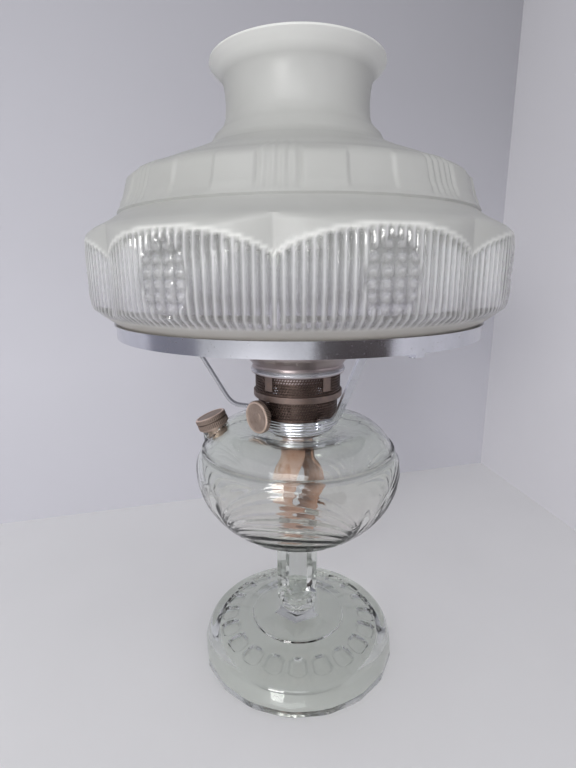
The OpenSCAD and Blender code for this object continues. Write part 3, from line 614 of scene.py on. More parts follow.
class LampColours(bpy.types.PropertyGroup):
    """Colours of the lamp's materials."""

    glass: colour_choice("Glass", "Tint of the clear glass", (0.915, 0.945, 0.895))
    # Partly the thick glass's own tint and partly painted shade: a darker copy of the clear glass.
    thick_foot_glass_and_painted_shade: colour_choice("Foot glass", "Tint of the thick glass of the foot", (0.765, 0.79, 0.76))
    glass_low: colour_choice("Lower glass", "Tint low in the bowl", (0.98, 0.955, 0.945))
    rib_glass: colour_choice("Ribbed glass", "Tint of the shade's clear panels", (0.92, 0.93, 0.93))
    # Painted shade low in the clear panels.
    rib_glass_painted_shade: colour_choice("Ribbed glass, low", "Tint low in the clear panels", (0.80, 0.78, 0.84))
    frost: colour_choice("Frost", "Satin glass of the shade", (0.60, 0.603, 0.583))
    frost_shadow: colour_choice("Frost, darker", "Patches of the satin glass", (0.55, 0.553, 0.53))
    hem_stain: colour_choice("Hem stain", "Oily stain at the shade's hem", (0.60, 0.53, 0.45))
    plating: colour_choice("Plating", "Bright plating", (0.66, 0.67, 0.72))
    bronze: colour_choice("Bronze", "Dark bronze finish", (0.085, 0.058, 0.05))
    bronze_worn: colour_choice("Worn bronze", "Rubbed bronze", (0.26, 0.185, 0.155))
    band: colour_choice("Burner band", "Plain band of the burner", (0.20, 0.155, 0.14))
    gallery: colour_choice("Gallery", "Tarnished nickel of the gallery", (0.42, 0.36, 0.36))
    brass: colour_choice("Brass", "Dull brass", (0.42, 0.33, 0.28))
    brass_stain: colour_choice("Brass stain", "Stains on the brass", (0.27, 0.20, 0.165))
    steel: colour_choice("Steel", "Flame spreader", (0.42, 0.40, 0.38))
    cotton: colour_choice("Cotton", "Wick", (0.56, 0.40, 0.355))
    oiled: colour_choice("Oiled cotton", "Wick where oil has stained it", (0.30, 0.145, 0.085))
    cork: colour_choice("Cork", "Gasket", (0.35, 0.24, 0.16))
    plaster: colour_choice("Plaster", "Plaster under the collar", (0.84, 0.81, 0.74))


class LampStageLook(bpy.types.PropertyGroup):
    """Floor, backdrop and light."""

    floor: colour_choice("Floor", "Colour of the floor", (0.77, 0.765, 0.77))
    left_wall: colour_choice("Left wall", "Colour of the backdrop's left board", (0.56, 0.555, 0.60))
    right_wall: colour_choice("Right wall", "Colour of the backdrop's right board", (0.74, 0.73, 0.76))
    dim_right: colour_choice("Right card", "What the plating mirrors at the right", (0.13, 0.105, 0.10))
    dim_left: colour_choice("Left card", "What the plating mirrors at the left", (0.36, 0.36, 0.41))
    world: bpy.props.FloatProperty(
        name="Room light", description="Strength of the light from all round", default=0.64, min=0.0, max=2.0)
    window: bpy.props.FloatProperty(
        name="Window light", description="Power of the window", default=10.5, unit="POWER")
    glow: bpy.props.FloatProperty(
        name="Front light", description="Power of the broad light behind the camera", default=9.0,
        unit="POWER")


# The stage and the camera.

def look_at(target, place):
    """Matrix of a lamp at place that shines towards target."""
    turn = (Vector(target) - Vector(place)).to_track_quat("-Z", "Y").to_matrix().to_4x4()
    return Matrix.Translation(place) @ turn


def add_soft_light(name, place, target, width, height, power, colour=(1.0, 1.0, 1.0)):
    """A rectangular soft light."""
    light = bpy.data.lights.new(name, "AREA")
    light.shape = "RECTANGLE"
    light.size = width
    light.size_y = height
    light.energy = power
    light.color = colour
    holder = bpy.data.objects.new(name, light)
    holder.matrix_world = look_at(target, place)
    bpy.context.scene.collection.objects.link(holder)
    return holder


def add_board(name, first, second, low, high, finish):
    """An upright board whose front faces the lamp, from the first to the second floor point."""
    form = bmesh.new()
    foot = [form.verts.new((x, y, low)) for x, y in (first, second)]
    edge = form.edges.new(foot)
    raised = bmesh.ops.extrude_edge_only(form, edges=[edge])["geom"]
    verts = [item for item in raised if isinstance(item, bmesh.types.BMVert)]
    bmesh.ops.translate(form, verts=verts, vec=(0, 0, high - low))
    for face in form.faces:
        face.normal_update()
        if face.normal.dot(face.calc_center_median()) > 0:
            face.normal_flip()
    return add_stage_mesh(form, name, finish)


def add_stage_mesh(form, name, finish):
    """Links a part of the stage."""
    mesh = bpy.data.meshes.new(name)
    form.to_mesh(mesh)
    form.free()
    mesh.materials.append(finish)
    part = bpy.data.objects.new(name, mesh)
    bpy.context.scene.collection.objects.link(part)
    return part


class LAMP_OT_stage(bpy.types.Operator):
    """Sets up the camera, the soft light, the floor and the backdrop"""

    bl_idname = "lamp.stage"
    bl_label = "Stage"

    def execute(self, context):
        look = context.scene.lamp_stage
        context.scene.view_settings.view_transform = "Standard"
        self.add_camera(context)
        self.add_world(context, look)
        floor_form = bmesh.new()
        bmesh.ops.create_grid(floor_form, x_segments=1, y_segments=1, size=3.0)
        bmesh.ops.translate(floor_form, verts=floor_form.verts, vec=(0, 0, -0.0003))
        floor = Finish("Pale_floor")
        cloud = floor.noise(0.006, 3.0, 0.5)
        tone = floor.mix(cloud.over(0.3, 0.7) * 0.5, solid(look.floor), solid(look.floor, 0.93))
        add_stage_mesh(floor_form, "floor", floor.done(floor.surface(Base_Color=tone, Roughness=0.6)))
        corner = (0.312, 0.402)
        left = (-1.688, -0.198)
        right = (0.579, -1.198)
        # The last two numbers set the painted shade at each board's top and far end.
        add_board("left_board", left, corner, -0.001, 2.2, painted_wall("Left_board", look.left_wall, 0.4, 0.52, 0.84))
        add_board("right_board", corner, right, -0.001, 2.2, painted_wall("Right_board", look.right_wall, 0.4, 0.72, 1.0))
        add_soft_light("window", (-0.66, -1.55, 0.66), (0, 0, 0.25), 0.46, 0.42, look.window, (1.0, 0.99, 0.98))
        add_soft_light("front_light", (-0.3, -1.5, 1.15), (0, 0, 0.3), 1.25, 0.66, look.glow, (0.97, 0.98, 1.0))
        self.add_card("right_card", look.dim_right, 8, 46, 0.45)
        self.add_card("left_card", look.dim_left, -130, -54, 1.0)
        return {"FINISHED"}

    def add_card(self, name, colour, first, last, distance):
        """A low curved card round the table, seen only as a reflection in metal and glass."""
        form = bmesh.new()
        ends = [form.verts.new((0, -distance, z)) for z in (0.0, 0.29)]
        form.edges.new(ends)
        bmesh.ops.rotate(form, verts=form.verts, matrix=Matrix.Rotation(math.radians(first), 3, "Z"))
        bmesh.ops.spin(
            form, geom=form.verts[:] + form.edges[:], cent=(0, 0, 0), axis=(0, 0, 1), dvec=(0, 0, 0),
            angle=math.radians(last - first), steps=24, use_merge=False, use_duplicate=False)
        card = Finish(name)
        dim = card.surface(Base_Color=solid(colour), Roughness=0.9)
        mirrored = card.node("LightPath", output="Is Glossy Ray")
        gone = card.node("BsdfTransparent")
        add_stage_mesh(form, name, card.done(card.node("MixShader", {}, {0: mirrored, 1: gone, 2: dim})))

    def add_camera(self, context):
        """Camera at the photograph's viewpoint."""
        data = bpy.data.cameras.new("camera")
        data.lens = 22.296
        data.sensor_width = 36.0
        data.clip_start = 0.01
        pitch = math.radians(13.242)
        heading = math.radians(-1.207)
        roll = math.radians(-0.295)
        ahead = Vector((
            math.sin(heading) * math.cos(pitch), math.cos(heading) * math.cos(pitch), -math.sin(pitch)))
        side = Vector((math.cos(heading), -math.sin(heading), 0.0))
        above = side.cross(ahead)
        right = side * math.cos(roll) + above * math.sin(roll)
        up = above * math.cos(roll) - side * math.sin(roll)
        camera = bpy.data.objects.new("camera", data)
        turn = Matrix((right, up, -ahead)).transposed().to_4x4()
        camera.matrix_world = Matrix.Translation((0, -0.363656, 0.317975)) @ turn
        context.scene.collection.objects.link(camera)
        context.scene.camera = camera

    def add_world(self, context, look):
        """Pale room light from all round."""
        world = bpy.data.worlds.new("room")
        world.use_nodes = True
        background = world.node_tree.nodes["Background"]
        background.inputs["Color"].default_value = (0.93, 0.94, 0.97, 1.0)
        background.inputs["Strength"].default_value = look.world
        context.scene.world = world


# Foot and stem.

class LAMP_OT_foot(bpy.types.Operator):
    """Models the pressed foot with its flutes and the six-sided stem"""

    bl_idname = "lamp.foot"
    bl_label = "Foot and stem"

    def execute(self, context):
        sizes = context.scene.lamp_glass
        colours = context.scene.lamp_colours
        flute_pitch = 360 / sizes.foot_flutes
        depth = sizes.flute_depth / MM
        outline = [
            (0, 14, 0), (37, 14, 0), (67, 8.4, 0), (71, 0.8, 0), (71.6, 0, 0), (80.4, 0, 1), (81, 0.7, 1),
            (80.4, 9.5, 1), (78, 16.6, 1), (77.2, 18.2, 1), (76.2, 19.4, 1), (74.9, 20.3, 1), (73.4, 20.9, 1),
            (71.8, 21.3, 1), (70, 21.7, 1),
            (49, 26.6, 1), (47, 27, 1), (39.4, 27.2, 1), (38.7, 28.3, 1), (37.6, 28.7, 1), (35.4, 28.7, 2), (28, 30.2, 2),
            (21.6, 31.6, 2), (17.4, 34.6, 2), (15.3, 38, 2), (15.2, 40.6, 2), (16.2, 42.6, 2), (17.6, 44.6, 2),
            (18.4, 47.6, 2), (18.7, 52, 2), (19, 60, 2), (19, 103.97, 2), (0, 103.97, 0)]
        gaps = {0: 6.0, 1: 1.6, 2: 1.8}

        def gap(z, mark):
            if z > 60:
                return 8.0
            return gaps[round(mark)] if mark == round(mark) else 3.0

        form = turned(outline, 360, start=-5, gap=gap, closed=False)

        def in_flute(bearing, radius):
            across = math.radians(off_centre(bearing, 0, flute_pitch)) * radius
            half = math.radians(flute_pitch) * radius * 0.4
            ends = max(0.0, radius - 62.5, 56.5 - radius) / 4.5
            return 1 - (across / half) ** 2 - ends ** 2

        # The flutes' hollows are kept for darkening in the glass, partly dirt and partly painted shade.
        hollow = form.verts.layers.float.new("hollow")
        mark = form.verts.layers.float["mark"]
        for vert in form.verts:
            radius = math.hypot(vert.co.x, vert.co.y)
            if vert[mark] == 1 and 48 < radius < 70:
                share = in_flute(math.degrees(math.atan2(vert.co.x, -vert.co.y)), radius)
                vert[hollow] = between(share, -0.12, 0.4, 0.2)

        def rule(bearing, radius, z, mark):
            if mark > 1.5:
                share = ease((z - 40) / 5) if z > 38 else between(z, 28.9, 37.2, 1.2)
                side = flat_side(bearing, 6, -5)
                return radius * (1 + (side - 1) * share), z
            if mark < 0.5:
                return radius, z
            if z < 21 and radius > 70:
                return min(radius, 81 * flat_side(bearing, 18, -5)), z
            share = in_flute(bearing, radius)
            if 48 < radius < 70 and share > 0:
                z -= depth * share ** 0.35
            return radius, z

        reshape(form, rule)
        finish = clear_glass("Clear_foot_glass", colours.thick_foot_glass_and_painted_shade, colours.thick_foot_glass_and_painted_shade, 0, 20)
        finish_piece(form, "pressed_foot_and_stem", finish, "lamp", ["pedestal"], crease=17)
        return {"FINISHED"}


# Bowl.

def dome_height(radius, rim, rim_z, top_z):
    """Height of the bowl's dome at a radius outside its dip."""
    if radius > 51:
        return rim_z + (top_z - rim_z) * (1 - ((radius - 51) / (rim - 51)) ** 2.4)
    return top_z - 3.5 * (1 - math.cos(math.pi * (51 - radius) / 21)) / 2


def bowl_side(radius, depth, low_z, rim, rim_z, top_z, mark):
    """Outline of one wall of the bowl, from its underside over the ridge to the neck."""
    start = math.acos(min(1.0, (167.5 - low_z) / depth))
    points = []
    for i in range(41):
        a = start + (math.pi / 2 - start) * i / 40
        points.append((radius * math.sin(a), 167.5 - depth * math.cos(a), mark))
    for i in range(1, 7):
        t = i / 6
        points.append((radius - (radius - rim) * t ** 2.2, 167.5 + (rim_z - 167.5) * t, mark))
    for i in range(1, 11):
        x = rim - (rim - 51) * i / 10
        points.append((x, dome_height(x, rim, rim_z, top_z), mark))
    for i in range(1, 8):
        x = 51 - 21 * i / 7
        points.append((x, dome_height(x, rim, rim_z, top_z), mark))
    return points


class LAMP_OT_bowl(bpy.types.Operator):
    """Models the oil bowl with its nested arches, its filler boss and its hollow inside"""

    bl_idname = "lamp.bowl"
    bl_label = "Bowl"

    def execute(self, context):
        sizes = context.scene.lamp_glass
        colours = context.scene.lamp_colours
        depth = sizes.arch_depth / MM
        pitch = 360 / sizes.arches
        outer = bowl_side(81.5, 65, 104.03, 75.5, 183.4, 201.5, 1)
        ridge = next(i for i, point in enumerate(outer) if point[0] == 75.5)
        outer[ridge:ridge + 1] = [(76.6, 182.6, 1), (76.4, 183.8, 1), (75.4, 184.5, 1), (74.6, 184.6, 1)]
        inner = bowl_side(77.5, 60, 108.5, 71.9, 181.4, 197.5, 0)
        outline = [(0, 104.03, 1)] + outer + [(25.6, 198, 1), (25.6, 203.1, 1), (22.4, 203.1, 0)]
        outline += [(22.4, 194, 0)] + inner[::-1] + [(0, inner[0][1], 0)]

        def gap(z, mark):
            return 1.7 if mark > 0.5 and z < 184 else 4.0

        form = turned(outline, 360, start=-5, gap=gap, closed=False)
        filler = Matrix.Translation((-66, 0, 195.93)) @ Matrix.Rotation(math.radians(-22), 4, "Y")
        to_filler = filler.inverted()

        def fold(bearing, z, mark):
            if mark > 0.5 and 106 < z < 182:
                return self.drape(bearing, z, pitch) * between(z, 108, 180, 4)
            return 0.0

        hollow = form.verts.layers.float.new("hollow")
        mark = form.verts.layers.float["mark"]
        for vert in form.verts:
            bearing = math.degrees(math.atan2(vert.co.x, -vert.co.y))
            # The ridge is darkened as painted shade; the arches' valleys partly as dirt and partly as painted shade.
            ridge = between(vert.co.z, 182.2, 184.9, 0.6) if vert[mark] > 0.5 else 0.0
            vert[hollow] = max(ridge, 0.25 * fold(bearing, vert.co.z, vert[mark]))
        reshape(form, lambda bearing, radius, z, mark: (radius - depth * fold(bearing, z, mark), z))
        self.open_filler(form, to_filler)
        finish = clear_glass("Clear_bowl_glass", colours.glass, colours.glass_low, 120, 178, 0.4)
        finish_piece(form, "pressed_bowl", finish, "lamp", ["font_bowl"], crease=28)
        return {"FINISHED"}

    def drape(self, bearing, z, pitch):
        """Depth of the nested arches and of the palm leaves between them, from 0 on a crest to 1 in a valley."""
        share = abs(off_centre(bearing, -6, pitch)) / (pitch / 2)
        rise = 107 + (z - 107) / math.sqrt(max(0.02, 1 - share * share))
        folds = 0.5 - 0.5 * math.cos(2 * math.pi * (rise - 175) / 9)
        in_arch = between(rise, 110, 180, 3) * (1 - ease((share - 0.82) / 0.14)) * (0.35 + 0.65 * ease((z - 116) / 34))
        beside = abs(off_centre(bearing, -6 + pitch / 2, pitch)) * math.pi / 180 * 76
        above = z - 116
        reach = math.hypot(beside, above)
        leaves = 0.5 - 0.5 * math.cos(13 * math.atan2(beside, max(0.1, above)))
        in_palm = between(reach, 14, 52, 6) * ease((rise - 181) / 4)
        return max(folds * in_arch, 0.6 * leaves * in_palm)

    def open_filler(self, form, to_filler):
        """Raises the filler's boss and cuts its hole through both walls."""
        mark = form.verts.layers.float["mark"]
        cut = []
        for vert in form.verts:
            local = to_filler @ vert.co
            away = math.hypot(local.x, local.y)
            if abs(local.z) > 12:
                continue
            if vert[mark] > 0.5 and away < 11.6:
                rise = 1.6 - local.z
                vert.co = to_filler.inverted() @ Vector((
                    local.x, local.y, local.z + rise * ease((11.6 - away) / 1.4)))
        for face in form.faces:
            local = to_filler @ face.calc_center_median()
            if math.hypot(local.x, local.y) < 7.6 and abs(local.z) < 12:
                cut.append(face)
        bmesh.ops.delete(form, geom=cut, context="FACES")
        rim = [edge for edge in form.edges if edge.is_boundary]
        for vert in {vert for edge in rim for vert in edge.verts}:
            local = to_filler @ vert.co
            away = math.hypot(local.x, local.y)
            vert.co = to_filler.inverted() @ Vector((local.x * 8 / away, local.y * 8 / away, local.z))
        bmesh.ops.bridge_loops(form, edges=rim)


# Shade.

class LAMP_OT_shade(bpy.types.Operator):
    """Models the frosted shade with its lobes, clear ribbed panels, waffle fields and shoulder folds"""

    bl_idname = "lamp.shade"
    bl_label = "Shade"

    lobe_middle = 18.0

    def execute(self, context):
        self.sizes = context.scene.lamp_shade
        outside = [
            (127.2, 283.3), (128.2, 284.2), (136, 290), (143.2, 295.6), (144.4, 298.4), (145.5, 306.3),
            (146, 318.3), (145.7, 331), (144.9, 337.6), (143.6, 341), (139.8, 344.2), (131, 348.8),
            (124.8, 352.8), (123.4, 354.2), (124.3, 355.4), (124, 356.8), (122.3, 358.3), (119.4, 364.3),
            (117.4, 371.4), (116.3, 375), (113.8, 378), (109.2, 379.9), (104.5, 381.2), (96.5, 385),
            (80, 391.6), (64.6, 398.6), (60.4, 402.6), (57.6, 407.4), (54.4, 410.2), (51.4, 414),
            (49.8, 419), (49.2, 428), (49.6, 436), (51, 443), (54.4, 448), (58, 450.8), (59.5, 452.6),
            (59.3, 453.8), (58.2, 454.4)]
        inside = [
            (56.6, 454.3), (55.2, 452.8), (51.4, 449), (48, 444), (46.4, 438), (45.8, 428), (46.4, 417),
            (50.6, 407), (55, 402.6), (60, 396.4), (77, 387.8), (93.8, 381), (106, 377.2), (110.6, 374.4),
            (113, 370.6), (116, 363), (119.4, 352), (126, 346.2), (137.4, 338.4), (140.2, 334.6),
            (142.6, 318.3), (142, 306), (140, 298), (131.8, 291.6), (124.6, 284.2), (124.6, 283.3)]
        outline = [(r, z, 1) for r, z in outside] + [(r, z, 0) for r, z in inside]

        def gap(z, mark):
            if mark < 0.5:
                return 14.0
            if z < 340:
                return 1.85
            return 2.9 if z < 380 else 7.0

        form = turned(outline, 768, start=self.lobe_middle, gap=gap)
        clear = form.verts.layers.float.new("clear")
        lip = form.verts.layers.float.new("lip")
        painted_crest_highlight = form.verts.layers.float.new("crest")
        mark = form.verts.layers.float["mark"]
        for vert in form.verts:
            bearing = math.degrees(math.atan2(vert.co.x, -vert.co.y))
            radius = math.hypot(vert.co.x, vert.co.y)
            z = vert.co.z
            if radius > 110:
                crest = self.rib(bearing) if vert[mark] > 0.5 else 0.5
                panel = self.panel(bearing, z)
                field, pyramid = self.waffle(bearing, z)
                crest = crest ** 3 * (1 - field) + pyramid * field * 0.8
                # The crests are made less clear and kept as the mask of a painted highlight.
                vert[clear] = panel * (1 - 0.55 * crest)
                vert[painted_crest_highlight] = panel * crest
                vert[lip] = self.lip(bearing, z)
            else:
                # Painted highlight round the top rim.
                vert[lip] = between(z, 447, 460, 4)
        reshape(form, self.relief)
        finish = shade_glass(context.scene.lamp_colours)
        finish_piece(form, "frosted_lobed_shade", finish, "shade", ["shade"], crease=38)
        return {"FINISHED"}

    def lobe_radius(self, bearing):
        """Plan radius of the lobes, 146 at a lobe's middle."""
        turn = math.radians(off_centre(bearing, self.lobe_middle, 45))
        return 53.7 * math.cos(turn) + math.sqrt(92.3 ** 2 - (53.7 * math.sin(turn)) ** 2)

    def arch(self, bearing):
        """Height of the frosted skin's lower edge over a clear panel."""
        turn = off_centre(bearing, self.lobe_middle, 45) / 22.5
        return 324.3 + 13.7 * (1 - turn * turn) ** 0.72

    def lip(self, bearing, z):
        """The smooth raised rim along the skin's lower edge, also the mask of a painted highlight on it."""
        return between(z, self.arch(bearing) + 0.2, self.arch(bearing) + 2.4, 1.2)

    def rib(self, bearing):
        """Height of the upright ribs, from 0 in a valley to 1 on a crest."""
        turn = off_centre(bearing, self.lobe_middle, 45)
        return abs(math.cos(math.pi * turn * self.sizes.ribs / 45))

    def panel(self, bearing, z):
        """1 inside a clear panel, 0 outside."""
        return between(z, 291, self.arch(bearing), 1.6)

    def waffle(self, bearing, z):
        """Share of the waffle field, and the height of its pyramids from 0 to 1."""
        turn = off_centre(bearing, self.lobe_middle, 45)
        field = ease((1 - (turn / 6.0) ** 2 - ((z - 315) / 19.5) ** 2) / 0.2)
        across = abs(off_centre(turn, 1.40625, 2.8125)) / 1.40625
        along = abs(off_centre(z, 300, 6.0)) / 3.0
        return field, min(1 - across, 1 - along)

    def relief(self, bearing, radius, z, mark):
        """Lobes on both walls, and the pattern on the outer wall."""
        sizes = self.sizes
        if radius > 110:
            lobe = self.lobe_radius(bearing) - (0 if mark > 0.5 else 3.4)
            radius = (radius + lobe - math.hypot(radius - lobe, 0.9)) / 2
        if mark < 0.5:
            return radius, z
        if z < 345 and radius > 110:
            pier = (22.5 - abs(off_centre(bearing, self.lobe_middle, 45))) * math.pi / 180 * 139.6
            panel = self.panel(bearing, z) * ease((pier - 0.5) / 1.6)
            field, pyramid = self.waffle(bearing, z)
            inside = self.rib(bearing) * sizes.rib_depth * (1 - field) + pyramid * sizes.waffle_depth * field
            radius += panel * (inside - sizes.panel_depth) / MM
            return radius + 0.2 * self.lip(bearing, z), z
        if 349 < z < 390 and radius > 80:
            radius += self.shoulder(bearing, z) * sizes.fold_depth / MM
        return radius, z

    def shoulder(self, bearing, z):
        """Folds of the shoulder: broad raised panels beside a bundle of narrow pleats."""
        turn = off_centre(bearing, self.lobe_middle - 22.5, 45)
        broad = between(abs(turn), 5.6, 16.4, 0.9) * between(z, 358.2, 376.5, 1.8)
        pleats = between(abs(turn), -1, 5.0, 0.6) * (0.5 - 0.5 * math.cos(2 * math.pi * turn / 2.5))
        return broad + 0.7 * pleats * between(z, 357, 383, 3) - 0.5 * between(z, 356, 380, 3)


# Plated collar, tripod and ring.

class LAMP_OT_plated(bpy.types.Operator):
    """Finishes the collar, the tripod and the shade ring in bright plating"""

    bl_idname = "lamp.plated"
    bl_label = "Plated parts"

    def execute(self, context):
        colours = context.scene.lamp_colours
        finish = plating("Bright_plating", colours)
        ringed = plating("Ringed_plating", colours, 0.92, 0.16)
        # Painted shade: a darker copy of the plating for the left strap.
        plating_with_painted_shade = plating("Plating_with_painted_shade", colours, 0.5)
        cleaned_copy("collar", "plated_collar", ringed, 0.25)
        cleaned_copy("tripod_base_ring", "plated_foot_band", ringed, 0.25)
        cleaned_copy("tripod_leg_left", "plated_strap_left", plating_with_painted_shade, 0.35)
        cleaned_copy("tripod_leg_right", "plated_strap_right", finish, 0.35)
        cleaned_copy("tripod_leg_rear", "plated_strap_rear", finish, 0.35)
        cleaned_copy("shade_ring", "plated_shade_ring", finish, 0.25)
        cleaned_copy("leg_rivets", "strap_rivets", finish, 0.3)
        cleaned_copy("ring_rivets", "ring_rivet_heads", finish, 0.3)
        dress(set_plaster(colours.plaster), "collar_plaster")
        return {"FINISHED"}


# Burner.

def perforated_band(radius, low, high, columns, rows, thickness):
    """A sheet-metal band pierced by staggered round holes."""
    form = bmesh.new()
    edge_room = 1.0
    heights = [low, low + edge_room]
    pierced = high - low - 2 * edge_room
    heights += [low + edge_room + pierced * (row + 1) / rows for row in range(rows)]
    heights.append(high)
    chain = [form.verts.new((0, -radius, z)) for z in heights]
    for pair in zip(chain, chain[1:]):
        form.edges.new(pair)
    bmesh.ops.spin(
        form, geom=form.verts[:] + form.edges[:], cent=(0, 0, 0), axis=(0, 0, 1), dvec=(0, 0, 0),
        angle=2 * math.pi, steps=columns, use_merge=True, use_duplicate=False)
    bmesh.ops.remove_doubles(form, verts=form.verts, dist=0.001)
    lean = math.pi / columns
    for row in range(1, len(heights)):
        ring = [vert for vert in form.verts if abs(vert.co.z - heights[row]) < 0.001]
        bmesh.ops.rotate(form, verts=ring, matrix=Matrix.Rotation(lean * row, 3, "Z"))
    cells = [
        face for face in form.faces
        if low + edge_room < face.calc_center_median().z < high - edge_room]
    bmesh.ops.inset_individual(form, faces=cells, thickness=0.3, use_even_offset=True)
    corners = {vert for face in cells for vert in face.verts}
    bmesh.ops.bevel(
        form, geom=list(corners), offset=0.4, offset_type="OFFSET", segments=1, profile=0.5,
        affect="VERTICES", material=-1, clamp_overlap=True)
    holes = [
        face for face in form.faces
        if len(face.verts) == 8 and low + edge_room < face.calc_center_median().z < high - edge_room]
    bmesh.ops.delete(form, geom=holes, context="FACES")
    bmesh.ops.recalc_face_normals(form, faces=form.faces)
    bmesh.ops.solidify(form, geom=form.faces[:], thickness=thickness)
    return form


class LAMP_OT_burner(bpy.types.Operator):
    """Models the burner's pierced bands and finishes its bands, gallery and tubes"""

    bl_idname = "lamp.burner"
    bl_label = "Burner"

    def execute(self, context):
        sizes = context.scene.lamp_metal
        colours = context.scene.lamp_colours
        dark = bronze("Dark_bronze", colours.bronze, colours.bronze_worn)
        light = bronze("Rubbed_bronze", colours.band, colours.bronze_worn, 0.8)
        inner = brass("Burner_brass", colours.brass, colours.brass_stain)
        nickel = tarnished("Tarnished_nickel", colours.gallery, colours.plating)
        for node, name, rows in (("lower_basket", "pierced_band_low", sizes.mesh_rows),
                                 ("upper_basket", "pierced_band_high", sizes.mesh_rows)):
            low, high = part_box(node)
            form = perforated_band(
                high.x / MM, low.z / MM, high.z / MM, sizes.mesh_columns, rows, 0.8)
            finish_piece(form, name, dark, "lamp", [node], crease=40)
        cleaned_copy("burner_base", "burner_skirt", dark, 0.2)
        cleaned_copy("basket_band", "plain_band", light, 0.4)
        cleaned_copy("gallery", "flared_gallery", nickel, 0.25)
        cleaned_copy("gallery_deck", "gallery_deck_plate", dark, 0.15)
        cleaned_copy("chimney_prongs", "spring_prongs", dark, 0.2)
        cleaned_copy("gallery_lugs", "gallery_lug_plates", light, 0.2)
        cleaned_copy("wick_outer_tube", "outer_wick_tube", inner, 0.15)
        cleaned_copy("wick_inner_tube", "inner_wick_tube", inner, 0.15)
        cleaned_copy("air_ducts", "air_duct_boxes", inner, 0.15)
        cleaned_copy("flame_spreader", "flame_spreader_cap", dulled_steel(colours.steel), 0.2)
        return {"FINISHED"}


# Wick and raiser.

class LAMP_OT_wick(bpy.types.Operator):
    """Weaves the round wick and its two hanging tails"""

    bl_idname = "lamp.wick"
    bl_label = "Wick"

    def execute(self, context):
        colours = context.scene.lamp_colours
        form = self.woven_tube(207.5, 251.3)
        finish = wick_cloth(colours.cotton, colours.oiled)
        for bearing, path in ((-45, [(12.9, 209), (12.9, 188), (13.1, 174), (17.5, 166), (19.8, 155),
                                     (18.4, 142), (12, 130), (5.6, 119), (4.6, 113.4), (9, 111.4), (15.5, 111.6)]),
                              (135, [(12.9, 209), (12.9, 188), (13.1, 174), (19, 165), (22, 154),
                                     (20.8, 141), (14.5, 129), (10.6, 119), (12, 115), (17, 113.6), (22.5, 113.9)])):
            self.add_tail(form, bearing, path)
        finish_piece(form, "woven_wick", finish, "wick_assembly", ["wick"], crease=60)
        return {"FINISHED"}

    def woven_tube(self, low, high):
        """The round part, with thread counts kept on its points."""
        def gap(z, mark):
            return 2.0

        form = turned([(11.8, low, 0), (14, low, 1), (14, high - 0.4, 1), (13.5, high, 1), (12.3, high, 0),
                       (11.8, high - 0.4, 0)], 96, gap=gap)
        across = form.verts.layers.float.new("across")
        along = form.verts.layers.float.new("along")
        for vert in form.verts:
            vert[across] = math.atan2(vert.co.x, -vert.co.y) * 12.9
            vert[along] = vert.co.z
        return form

    def add_tail(self, form, bearing, path):
        """A ribbon that starts curved to the tube and flattens as it hangs."""
        across = form.verts.layers.float["across"]
        along = form.verts.layers.float["along"]
        lengths = [0.0]
        for first, second in zip(path, path[1:]):
            lengths.append(lengths[-1] + math.dist(first, second))
        whole = lengths[-1]
        made = bmesh.ops.create_grid(form, x_segments=14, y_segments=64, size=1.0)["verts"]
        turn = Matrix.Rotation(math.radians(bearing), 3, "Z")
        for vert in made:
            side = vert.co.x
            run = (vert.co.y + 1) / 2 * whole
            radius, z = self.point_on(path, lengths, run)
            flat = ease((run - 34) / 40)
            half_width = 15.6 - 5.0 * flat
            bend = 12.9 / max(0.3, 1 - flat)
            angle = side * half_width / bend
            ripple = 0.5 * math.sin(run / 7 + bearing) * flat * side
            vert.co = turn @ Vector((
                bend * math.sin(angle), -(radius - bend * (1 - math.cos(angle))) + ripple, z))
            vert[across] = side * half_width
            vert[along] = run
        faces = {face for vert in made for face in vert.link_faces}
        bmesh.ops.recalc_face_normals(form, faces=list(faces))
        bmesh.ops.solidify(form, geom=list(faces), thickness=1.7)

    def point_on(self, path, lengths, run):
        """Point at a run along a path, smoothed between its corners."""
        points = []
        for shift in (-4.0, -2.0, 0.0, 2.0, 4.0):
            place = min(lengths[-1], max(0.0, run + shift))
            for i in range(len(path) - 1):
                if place <= lengths[i + 1] + 1e-6:
                    break
            t = (place - lengths[i]) / (lengths[i + 1] - lengths[i])
            points.append(tuple(a + (b - a) * t for a, b in zip(path[i], path[i + 1])))
        return tuple(sum(values) / len(points) for values in zip(*points))


def notch(bearing, teeth):
    """Depth of the grooves round a milled edge, from 0 on a tooth to 1 between two."""
    return 0.5 - 0.5 * math.cos(math.radians(bearing * teeth))


def mark_rounds(form, teeth, wear_and_highlight_at):
    """Keeps where a turned part is grooved, for painted shade, and where its edge is rubbed and lit, for wear and a
    painted highlight.
    """
    groove = form.verts.layers.float.new("groove")
    worn = form.verts.layers.float.new("worn")
    mark = form.verts.layers.float["mark"]
    for vert in form.verts:
        bearing = math.degrees(math.atan2(vert.co.x, -vert.co.y))
        vert[groove] = vert[mark] * notch(bearing, teeth)
        vert[worn] = wear_and_highlight_at(math.hypot(vert.co.x, vert.co.y), vert.co.z)


